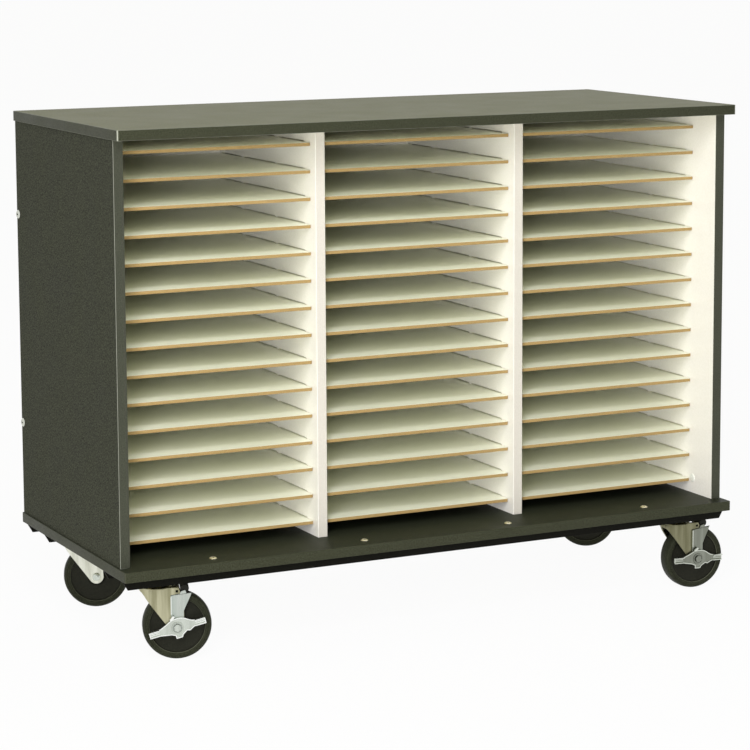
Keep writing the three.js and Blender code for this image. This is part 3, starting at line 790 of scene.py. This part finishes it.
cap_radius_shares = np.array((0, 1, 1, 0.96, 0.86, 0.5, 0))
cap_rise_shares = np.array((0, 0, 0.3, 0.6, 0.82, 0.96, 1))

for side, name in ((-1, "left"), (1, "right")):
    node = name + "_cover_cap"
    low, high = map(np.array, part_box(node))
    radius = (high[2] - low[2]) / 2
    thick = high[0] - low[0]
    dome = turned(np.stack([radius * cap_radius_shares, thick * cap_rise_shares], -1), 40, "x")
    wall = high[0] if side > 0 else low[0]
    middle = np.array((wall, (low[1] + high[1]) / 2, (low[2] + high[2]) / 2))
    make_piece(name + "_fitting_cap", (dome[0] * (-side, 1, 1) + middle, dome[1]), [white_plastic],
               "cabinet", [node], smooth=40)


# Caster plates: a zinc-plated steel plate under each corner of the base, held by four hexagon bolts. The
# kingpin is riveted in its middle, and its head carries the fork's crown.
casters = ("front_left", "front_right", "rear_left", "rear_right")
joint_places = {joint["name"]: np.array(joint["pos_m"]) for joint in frame["joints"]}
zinc_warm = metal("warm_zinc", (194, 191, 160), (156, 153, 122), (0.26, 0.4), 260.0)
play = 0.0003
crown_top = 0.1375
fork_wall = 0.003
plate_thickness = 0.004
plate_corner = 0.008
kingpin_radius = 0.0065
kingpin_head_radius = 0.010
kingpin_axis_gap = 0.0002
bolt_inset = 0.010
bolt_washer_radius = 0.0075
bolt_washer_thickness = 0.0015
bolt_head_radius = 0.006
bolt_head_height = 0.005
stud_radius = 0.003
stud_tip = 0.0015


def kingpin_plate_shells(low, high):
    """The plate, a rectangle with rounded corners, and the kingpin, a profile of its rivet head and its
    shank turned about the plate's middle."""
    corners = [(low[0], low[1]), (high[0], low[1]), (high[0], high[1]), (low[0], high[1])]
    sheet = plate(soften(corners, plate_corner), high[2] - plate_thickness, high[2], 0.0006)
    middle = (low + high) / 2
    head_top = crown_top - fork_wall - play
    pin_top = high[2] - plate_thickness / 2
    profile = soften(
        [(kingpin_axis_gap, low[2]), (kingpin_head_radius * 0.8, low[2]),
         (kingpin_head_radius, head_top - 0.0015), (kingpin_head_radius, head_top),
         (kingpin_radius, head_top), (kingpin_radius, pin_top), (kingpin_axis_gap, pin_top)], 0.0004)
    pin, pin_faces = turned(profile, 40, "z", True)
    return put_together(sheet, (pin + (middle[0], middle[1], 0), pin_faces))


def plate_bolt_shells(low, high):
    """Four hexagon bolts with round washers under the plate, near its corners. Each is three turned
    profiles."""
    under = high[2] - plate_thickness
    washer_low = -bolt_washer_thickness
    washer = turned(
        [(0, washer_low), (bolt_washer_radius - 0.0005, washer_low),
         (bolt_washer_radius, washer_low + 0.0003), (bolt_washer_radius, 0), (0, 0)], 32, "z")
    head_low = washer_low - bolt_head_height
    head = turned(
        [(0, head_low), (bolt_head_radius - 0.0008, head_low), (bolt_head_radius, head_low + 0.0006),
         (bolt_head_radius, washer_low), (0, washer_low)], 6, "z")
    tip = head_low - stud_tip
    stud = turned(
        [(0, tip), (stud_radius - 0.0004, tip), (stud_radius, tip + 0.0005), (stud_radius, 0), (0, 0)],
        20, "z")
    points, faces = put_together(washer, head, stud)
    places = [(x, y) for x in (low[0] + bolt_inset, high[0] - bolt_inset)
              for y in (low[1] + bolt_inset, high[1] - bolt_inset)]
    return put_together(*[(points + (x, y, under), faces) for x, y in places])


for caster in casters:
    low, high = map(np.array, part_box(caster + "_caster_plate"))
    make_piece(caster + "_top_plate", kingpin_plate_shells(low, high), [zinc_warm], "cabinet",
               [caster + "_caster_plate"], smooth=35)
    make_piece(caster + "_plate_bolts", plate_bolt_shells(low, high), [yellow_zinc], "cabinet",
               smooth=35)


# Ball races: two pressed cups of zinc-plated steel, with the balls between them, round the kingpin and
# under the plate.
kingpin_bore = 0.0068
race_radius = 0.027
race_ease = 0.0008
race_insets = (0.0045, 0.0005, 0, 0.0008, 0.0042, 0.0042, 0.0008, 0, 0.0012, 0.0035)
race_rise_shares = (0, 0.10, 0.24, 0.38, 0.47, 0.53, 0.62, 0.76, 0.92, 1)


def race_shell(low, high):
    """Two cups of C section with a waist between them: a profile turned about the kingpin. Its radius is
    the race's less an inset at each share of the way up."""
    rim = [(race_radius - inset, low + share * (high - low))
           for inset, share in zip(race_insets, race_rise_shares)]
    return turned(soften([(kingpin_bore, low), *rim, (kingpin_bore, high)], race_ease), 72, "z", True)


for caster in casters:
    low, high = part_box(caster + "_raceway")
    pivot = joint_places[caster + "_swivel_turn"]
    points, faces = race_shell(low.z, high.z)
    make_piece(caster + "_ball_race", (points + (pivot[0], pivot[1], 0), faces), [zinc_warm], "cabinet",
               [caster + "_raceway"], smooth=40)


# Forks: each is pressed from one zinc-plated sheet into a horseshoe over the wheel, with a leg on either
# side and a cup that turns on the kingpin. It is drawn about the axle, with +X the way the wheel trails.
zinc_pale = metal("pale_zinc", (234, 235, 221), (210, 211, 195), (0.26, 0.4), 260.0)
# Painted shade: the front right fork takes a darker copy of the zinc.
zinc_shaded = metal("shaded_zinc", (138, 136, 110), (116, 114, 88), (0.26, 0.4), 260.0)
fork_finishes = {
    "front_left": zinc_warm, "front_right": zinc_shaded, "rear_left": zinc_pale, "rear_right": zinc_pale}
axle_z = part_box("front_left_wheel")[1].z / 2
crown_rise = crown_top - axle_z
crown_radius = 0.030
crown_groove_radius = 0.0225
swivel_offset = 0.038
fork_half = 0.024
fork_nose = 0.068
fork_ease = 0.0006
fork_press = 0.0026
fork_hole = 0.0046
ear_radius = 0.014
ear_turn = math.pi / 5
nose_length_shares = np.array((-1.0, -0.94, -0.88, -0.82))
nose_rise_shares = np.array((0.88, 0.855, 0.79, 0.70))
slant_length_shares = np.array((0.3, 0.85, 1.0))
slant_rise_shares = np.array((1.0, 0.55, 0.0))


def fork_shell():
    """The fork's wall: a horseshoe path carried up from a lower line to an upper one. Both are functions of
    x: the lower is a curve from the nose, a straight edge and the ear's arc, and the upper is the crown
    and a slant down to the ear."""
    leg_steps, bend_steps = 40, 33
    nose_x = -fork_nose + fork_half
    lean = (1 - np.cos(np.linspace(0, math.pi, leg_steps))) / 2
    leg_x = ear_radius + (nose_x - ear_radius) * lean
    bend = np.linspace(math.pi / 2, math.pi * 1.5, bend_steps)[1:-1]
    straight = np.ones(leg_steps)
    path_x = np.concatenate([leg_x, nose_x + fork_half * np.cos(bend), leg_x[::-1]])
    normal_x = np.concatenate([0 * straight, np.cos(bend), 0 * straight])
    normal_y = np.concatenate([straight, np.sin(bend), -straight])
    path_y = fork_half * normal_y
    ear_x, ear_z = -ear_radius * math.cos(ear_turn), -ear_radius * math.sin(ear_turn)
    lower = np.interp(
        path_x, [*nose_length_shares * fork_nose, ear_x], [*nose_rise_shares * crown_rise, ear_z])
    arc = -np.sqrt(np.maximum(ear_radius ** 2 - path_x ** 2, 0))
    lower = np.where(path_x > ear_x, arc, lower)
    upper = np.interp(path_x, slant_length_shares * ear_radius, slant_rise_shares * crown_rise)
    most = 0.45 * (upper - lower)
    ease = np.minimum(fork_ease, most)
    press = np.minimum(fork_press, most)
    outer = np.zeros(len(path_x))
    inner = outer - fork_wall
    out = np.stack([outer, outer, -0.3 * press, -press, inner, inner, inner + ease, -ease], -1)
    up = np.stack([lower + ease, upper - press, upper - 0.3 * press, upper, upper, lower + ease,
                   lower, lower], -1)
    across = path_x[:, None] + normal_x[:, None] * out
    aside = path_y[:, None] + normal_y[:, None] * out
    count = out.shape[1]
    last = (len(path_x) - 1) * count
    ends = [list(range(count)), list(range(last, last + count))]
    faces = grid_faces(len(path_x), count, close_columns=True).tolist() + ends
    return np.stack([across, aside, up], -1).reshape(-1, 3), faces


def pierced(shell, cutter):
    """A closed shell less the space inside a second one. Both are merged and faced outwards first."""
    both = []
    for points, faces in (shell, cutter):
        mesh = bpy.data.meshes.new("uncut")
        mesh.from_pydata(points.tolist(), [], [list(map(int, face)) for face in faces])
        shape = bmesh.new()
        shape.from_mesh(mesh)
        bmesh.ops.remove_doubles(shape, verts=shape.verts, dist=merge_distance)
        face_out(shape)
        shape.to_mesh(mesh)
        shape.free()
        both.append(bpy.data.objects.new("uncut", mesh))
        bpy.context.scene.collection.objects.link(both[-1])
    hole = both[0].modifiers.new("hole", "BOOLEAN")
    hole.object = both[1]
    hole.solver = "EXACT"
    cut = both[0].evaluated_get(bpy.context.evaluated_depsgraph_get()).data
    points = np.empty(len(cut.vertices) * 3, np.float32)
    cut.vertices.foreach_get("co", points)
    faces = [list(face.vertices) for face in cut.polygons]
    for leftover in both:
        bpy.data.objects.remove(leftover)
    return points.reshape(-1, 3), faces


def crown_shell():
    """The fork's crown: a cup turned about the kingpin from a profile with a groove for the balls."""
    under = crown_rise - fork_wall
    profile = [
        (kingpin_bore, under), (0.019, under), (crown_groove_radius, under - 0.0008),
        (0.0265, under - 0.0002), (crown_radius - fork_ease, under + 0.0006),
        (crown_radius, crown_rise - 0.0014), (crown_radius - fork_ease, crown_rise - 0.0004),
        (0.0272, crown_rise), (crown_groove_radius, crown_rise - 0.0012), (0.0185, crown_rise),
        (kingpin_bore, crown_rise),
    ]
    points, faces = turned(profile, 72, "z", True)
    return points - (swivel_offset, 0, 0), faces


def stood(shell, caster):
    """Turns a shell by a caster's swivel about the upright through its axle, and sets it at that axle:
    x cos t - y sin t and x sin t + y cos t, where t is the way the axle trails from the kingpin."""
    axle = joint_places[caster + "_wheel_roll"]
    trail = axle - joint_places[caster + "_swivel_turn"]
    swivel = math.atan2(trail[1], trail[0])
    x, y, z = shell[0].T
    cosine, sine = math.cos(swivel), math.sin(swivel)
    return np.stack([x * cosine - y * sine, x * sine + y * cosine, z], -1) + axle, shell[1]


hole_shell, _ = eased_board(
    (-fork_hole / 2, -fork_half - fork_wall, crown_rise - fork_hole * 2.1),
    (fork_hole / 2, -fork_half + 2 * fork_wall, crown_rise - fork_hole * 1.1), 0.0004)
forked = put_together(pierced(fork_shell(), hole_shell), crown_shell())
for caster in casters:
    make_piece(caster + "_pressed_fork", stood(forked, caster), [fork_finishes[caster]],
               caster + "_swivel", [caster + "_fork"], smooth=35)


# Wheels: moulded hard rubber, with a thin disc between the hub and a raised ring, and a steel bushing
# pressed in for the axle.
# The tread rubber's pale colour on the ring's inner edge is a painted highlight.
tread_rubber = mottled("tread_rubber", (26, 28, 19), (48, 50, 38), 0.0022, (0.46, 0.56), 0.00004,
                       gloss=0.12, painted_light_color=(80, 82, 68))
disc_rubber = mottled("disc_rubber", (22, 23, 18), (36, 36, 29), 0.0022, (0.4, 0.5), 0.00004, gloss=0.12)
wheel_radius = axle_z
tread_half = 0.016
hub_half = 0.0195
hub_radius = 0.015
ring_inner_radius = 0.0506
wheel_bore = 0.0068
bushing_bore = 0.0053
bushing_half = hub_half + 0.0006
bushing_ease = 0.0003


def wheel_shell():
    """The wheel: a profile from the bore over hub, disc and raised ring to the tread, mirrored, and turned.
    Its kinds are 1 inside the ring, and its painted highlight is 1 on the ring's inner edge."""
    near = [
        (wheel_bore, -hub_half + 0.0005), (wheel_bore + 0.0005, -hub_half), (hub_radius, -hub_half),
        (hub_radius + 0.0012, -hub_half + 0.0012), (0.0185, -0.0115), (0.0205, -0.0100), (0.0470, -0.0092),
        (0.0494, -0.0102), (ring_inner_radius, -0.0136), (0.0518, -0.0151), (0.0534, -0.0156),
        (0.0562, -0.0158), (0.0570, -0.0152), (0.0578, -0.0158), (0.0592, -0.0155), (0.0612, -0.0140),
        (0.0627, -0.0110), (wheel_radius, -0.0060),
    ]
    far = [(radius, -place) for radius, place in reversed(near)]
    sides = 96
    profile = [*near, (wheel_radius, 0.0), *far]
    radii = np.array([radius for radius, _ in profile])
    inside = (radii + np.roll(radii, -1)) / 2 < ring_inner_radius
    painted_mask = np.abs(radii - ring_inner_radius) < 0.0001
    return turned(profile, sides, "y", True), np.repeat(inside, sides).astype(int), np.repeat(painted_mask, sides)


def bushing_shell():
    """The steel bushing: a tube with eased ends that stands just proud of the hub."""
    return turned(
        [(bushing_bore, -bushing_half), (wheel_bore - bushing_ease, -bushing_half),
         (wheel_bore, -bushing_half + bushing_ease), (wheel_bore, bushing_half - bushing_ease),
         (wheel_bore - bushing_ease, bushing_half), (bushing_bore, bushing_half)], 40, "y", True)


wheel, wheel_kinds, wheel_highlight = wheel_shell()
for caster in casters:
    make_piece(caster + "_tyre", stood(wheel, caster), [tread_rubber, disc_rubber], caster + "_roller",
               [caster + "_wheel"], kinds=wheel_kinds, painted_light=wheel_highlight, smooth=40)
    make_piece(caster + "_bushing", stood(bushing_shell(), caster), [zinc_warm], caster + "_roller",
               smooth=40)


# Axle bolts: zinc-plated steel, through the fork's legs and the wheel, with a lock nut on the far leg. The
# bolts of the braked casters are longer and also hold the brake plate and the pedal.
# The pale colours of the bright zinc and the brake zinc are painted highlights on the pedals' folds, ribs,
# rim and ear, and on the brake plate's edge.
zinc_bright = metal("bright_zinc", (195, 201, 191), (209, 215, 205), (0.2, 0.32), 260.0,
                    painted_light_color=(250, 252, 248))
# Painted shade: the front right caster's bolt, brake plate, pedal and washer take a darker copy of the
# zinc.
zinc_shaded_brake = metal("shaded_brake_zinc", (128, 131, 120), (142, 146, 135), (0.24, 0.36), 260.0,
                  painted_light_color=(206, 210, 200))
bolt_finishes = {caster: zinc_bright for caster in casters}
bolt_finishes["front_right"] = zinc_shaded_brake
braked_casters = ("front_left", "front_right")
brake_plate_thickness = 0.0025
pedal_thickness = 0.0025
axle_radius = 0.005
axle_tip_radius = 0.0042
axle_tip = 0.0008
axle_overhang = 0.002
axle_head_height = 0.0045
axle_head_radius = 0.007
axle_dome_radius = axle_head_radius * 1.12
axle_dome_foot = 0.0008
axle_dome_rise = 0.0028
axle_nut_radius = axle_head_radius * 1.2


def pitched(shell, pitch):
    """Turns a shell by pitch about the axle: x cos t - z sin t and x sin t + z cos t."""
    x, y, z = shell[0].T
    cosine, sine = math.cos(pitch), math.sin(pitch)
    return np.stack([x * cosine - z * sine, y, x * sine + z * cosine], -1), shell[1]


def hexagon(radius, low, high, turn):
    """A chamfered hexagon about Y: a six-sided prism whose end corners are drawn in."""
    face_share, chamfer_share = 0.86, 0.14
    chamfer = chamfer_share * (high - low)
    profile = [(0, low), (radius * face_share, low), (radius, low + chamfer), (radius, high - chamfer),
               (radius * face_share, high), (0, high)]
    return pitched(turned(profile, 6, "y"), turn)


def axle_shell(braked):
    """The axle bolt: a chamfered hexagon head on a braked caster and a dome on a plain one, which bulges by
    the cosine of a quarter turn, its shank, and a lock nut on the far leg."""
    stack = brake_plate_thickness + pedal_thickness + 2 * play if braked else 0.0
    head_y = -fork_half - stack - play
    nut_y = fork_half + play
    end_y = nut_y + axle_head_height + axle_overhang
    shank = turned([(0, head_y), (axle_radius, head_y), (axle_radius, end_y - axle_tip),
                    (axle_tip_radius, end_y), (0, end_y)], 32, "y")
    if braked:
        head = hexagon(axle_head_radius, head_y - axle_head_height, head_y, 0.2)
    else:
        a = np.linspace(0, math.pi / 2, 9)
        rise = axle_dome_foot + axle_dome_rise * np.cos(a)
        dome = np.stack([axle_dome_radius * np.sin(a), head_y - rise], -1)
        head = turned([*dome, (axle_dome_radius, head_y), (0, head_y)], 48, "y")
    nut = hexagon(axle_nut_radius, nut_y, nut_y + axle_head_height, 0.4)
    return put_together(shank, head, nut)


for caster in casters:
    make_piece(caster + "_axle_bolt", stood(axle_shell(caster in braked_casters), caster),
               [bolt_finishes[caster]], caster + "_swivel", [caster + "_axle"], smooth=30)


# Brake plates: bent sheet steel, zinc plated, between the fork's leg and the pedal. Each reaches up and
# back over the wheel to a rubber roller that is pressed on the tread.
# The pale colour of the blue zinc is a painted highlight on the brake plate's folded edge.
zinc_blue = metal("blue_zinc", (186, 195, 187), (200, 206, 198), (0.24, 0.36), 260.0, painted_light_color=(238, 243, 237))
shoe_rubber = mottled("shoe_rubber", (12, 12, 10), (22, 22, 19), 0.0015, (0.45, 0.6), 0.00005, gloss=0.25)
bracket_finishes = {"front_left": zinc_blue, "front_right": zinc_shaded_brake}
bracket_half = 0.012
bracket_ease = 0.0005
flange_stand = 0.002
flange_rise_shares = (0.34, 0.82)
shoe_radius = 0.008
shoe_trail = 0.014
shoe_ease = 0.0015
shoe_gap = 0.00135
shoe_rise = math.sqrt((wheel_radius + shoe_gap + shoe_radius) ** 2 - shoe_trail ** 2)
bracket_side_shares = np.array(((1, 0.42), (1.3, 0.55), (2.3, 0.9)))
bracket_crest_shares = np.array(
    ((2.3, 0.9), (1.45, 0.88), (1.25, 0.97), (0.6, 0.94), (0.35, 0.86), (-1, 0.83)))


def upright_plate(outline, low, high, ease):
    """A plate whose outline lies in X and Z, with its thickness along Y."""
    points, faces = plate(outline, low, high, ease)
    return points[:, [0, 2, 1]], faces


def brake_plate_shell():
    """The brake plate: a half circle at the axle, a quadratic curve back and up to the shoe, and a crest
    with softened corners, with its near edge folded out. Its painted highlight is 1 on that edge."""
    outer = -fork_half - play
    reach = np.array((bracket_half, shoe_rise))
    turn = np.linspace(math.pi, 2 * math.pi, 13)
    foot = bracket_half * np.stack([np.cos(turn), np.sin(turn)], -1)
    lean = np.linspace(0, 1, 9)[:, None]
    start, knee, end = bracket_side_shares * reach
    side = (1 - lean) ** 2 * start + 2 * lean * (1 - lean) * knee + lean ** 2 * end
    crest = soften(bracket_crest_shares * reach, 0.0012, 3)
    sheet = upright_plate(np.concatenate([foot, side[:-1], crest]), outer - brake_plate_thickness, outer,
                          bracket_ease)
    flange_low, flange_high = (shoe_rise * share for share in flange_rise_shares)
    flange, _ = eased_board((-bracket_half, outer - brake_plate_thickness - flange_stand, flange_low),
                            (-bracket_half + flange_stand, outer, flange_high), bracket_ease)
    return put_together(sheet, flange), np.repeat((0.0, 1.0), (len(sheet[0]), len(flange[0])))


def shoe_shell():
    """The brake shoe: a roller across the tread, whose ends are rounded by quarter circles."""
    start = -fork_half + 0.0005
    a = np.linspace(0, math.pi / 2, 5)
    radii = shoe_radius - shoe_ease * (1 - np.sin(a))
    near = np.stack([radii, start + shoe_ease * (1 - np.cos(a))], -1)
    far = near[::-1] * (1, -1) + (0, tread_half + start)
    points, faces = turned([(0, start), *near, *far, (0, tread_half)], 48, "y")
    return points + (shoe_trail, 0, shoe_rise), faces


for caster in braked_casters:
    bracket, bracket_highlight = brake_plate_shell()
    make_piece(caster + "_brake_bracket", stood(bracket, caster), [bracket_finishes[caster]],
               caster + "_swivel", [caster + "_brake_plate"], painted_light=bracket_highlight, smooth=35)
    make_piece(caster + "_brake_shoe", stood(shoe_shell(), caster), [shoe_rubber], caster + "_swivel",
               smooth=40)


# Brake pedals: pressed zinc-plated steel that rocks on the axle bolt, with a foot pad at each end and a
# washer under the bolt's head.
pedal_pitches = {"front_left": math.radians(15), "front_right": 0.0}
pedal_hub = 0.016
pedal_half = 0.053
pad_half = 0.006
pad_start_share = 0.62
pedal_ease = 0.0006
sunk = 0.0006
fold_width = 0.0018
fold_ease = 0.0005
upper_fold_reach = 0.006
lower_fold_reach = 0.0035
rib_half = 0.0008
rib_places = (-0.0014, 0.0016)
rib_end_gap = 0.001
raised = 0.0012
rim_width = 0.0019
rim_ease = 0.0004
boss_radii = (0.0084, 0.0088, 0.0104, 0.0111)
ear_half_length = 0.005
ear_half_width = 0.0022
ear_reach = 0.003
ear_pitch = math.radians(35)
washer_bore = 0.0074
washer_radius = 0.0081
pedal_outer = -fork_half - brake_plate_thickness - 2 * play
pedal_front = pedal_outer - pedal_thickness


def rim_shell(outline, width, low, high, ease):
    """A raised rim: a softened rectangle carried round an outline in X and Z, just inside it. A point is
    the outline's point less its outward normal times the section's reach, at the section's own Y."""
    outline = np.asarray(outline, float)
    section = soften([(0, low), (width, low), (width, high), (0, high)], ease, 3)
    flat = outline[:, None] - section[None, :, :1] * outward(outline)[:, None]
    deep = np.broadcast_to(section[None, :, 1], flat.shape[:2])
    points = np.stack([flat[..., 0], deep, flat[..., 1]], -1).reshape(-1, 3)
    return points, grid_faces(len(outline), len(section), True, True)


def stood_out(x0, x1, z0, z1, reach, ease):
    """A strip from x0 to x1 and z0 to z1, sunk in the pedal's front, that stands out from it by reach."""
    return eased_board((x0, pedal_front - reach, z0), (x1, pedal_front + sunk, z1), ease)[0]


def pedal_shell(pitch):
    """The rocking pedal: a softened plate with a rolled rim, an ear over the hub, and a foot pad at each
    end, whose upper and lower edges are folded out, with two pressed ribs along each pad and a boss round
    the axle bolt's head. It is turned by pitch about the axle. Its painted highlight is 1 on all but plate
    and boss."""
    hub, half, pad = pedal_hub, pedal_half, pad_half
    outline = soften([
        (-half, pad), (-half * 0.6, pad), (-hub * 1.2, hub * 0.7), (-hub * 0.45, hub * 1.08),
        (hub * 0.45, hub * 1.12), (hub * 1.05, hub * 0.94), (hub * 1.6, pad * 1.4), (half * 0.62, pad),
        (half, pad), (half, -pad), (half * 0.58, -pad), (hub * 1.3, -hub * 0.72), (hub, -hub * 0.6),
        (hub * 0.45, -hub * 0.94), (hub * 0.3, -hub * 1.22), (-hub * 0.45, -hub * 1.22),
        (-hub * 0.45, -hub * 0.85), (-hub * 0.85, -hub * 0.65), (-half * 0.7, -pad), (-half, -pad)],
        np.array((1, 4, 4, 4, 4, 4, 5, 5, 1, 1, 4, 2, 1, 1, 0.6, 0.6, 1, 2, 5, 1)) * 0.001)
    ear_strip = stood_out(-ear_half_length, ear_half_length, -ear_half_width, ear_half_width, ear_reach,
                          pedal_ease)
    ear, ear_faces = pitched(ear_strip, ear_pitch)
    sheet = upright_plate(outline, pedal_front, pedal_outer, pedal_ease)
    raised_shells = [
        rim_shell(outline, rim_width, pedal_front - raised, pedal_front + sunk, rim_ease),
        (ear + (-hub * 0.3, 0, hub * 1.22), ear_faces)]
    for side in (-1, 1):
        x0, x1 = sorted((side * half * pad_start_share, side * half))
        raised_shells.append(stood_out(x0, x1, pad - fold_width, pad, upper_fold_reach, fold_ease))
        raised_shells.append(stood_out(x0, x1, -pad, -pad + fold_width, lower_fold_reach, fold_ease))
        raised_shells += [
            stood_out(x0 + rib_end_gap, x1 - rib_end_gap, z - rib_half, z + rib_half, raised, fold_ease)
            for z in rib_places]
    inner_foot, inner_top, outer_top, outer_foot = boss_radii
    boss = turned(
        [(0, pedal_front), (inner_foot, pedal_front), (inner_top, pedal_front - raised),
         (outer_top, pedal_front - raised), (outer_foot, pedal_front), (outer_foot, pedal_outer),
         (0, pedal_outer)], 48, "y")
    counts = len(sheet[0]), sum(len(points) for points, _ in raised_shells), len(boss[0])
    return pitched(put_together(sheet, *raised_shells, boss), pitch), np.repeat((0.0, 1.0, 0.0), counts)


def washer_shell():
    """The washer round the axle bolt's head, in the pedal's boss: a rectangle turned about the axle."""
    low, high = pedal_front + 0.0001, pedal_front - 0.0006
    return turned([(washer_bore, low), (washer_radius, low), (washer_radius, high), (washer_bore, high)],
                  48, "y", True)


for caster in braked_casters:
    make_piece(caster + "_axle_washer", stood(washer_shell(), caster), [bracket_finishes[caster]],
               caster + "_pedal", smooth=40)
    pedal, pedal_highlight = pedal_shell(pedal_pitches[caster])
    make_piece(caster + "_foot_pedal", stood(pedal, caster), [bolt_finishes[caster]], caster + "_pedal",
               [caster + "_brake_pedal"], painted_light=pedal_highlight, smooth=35)
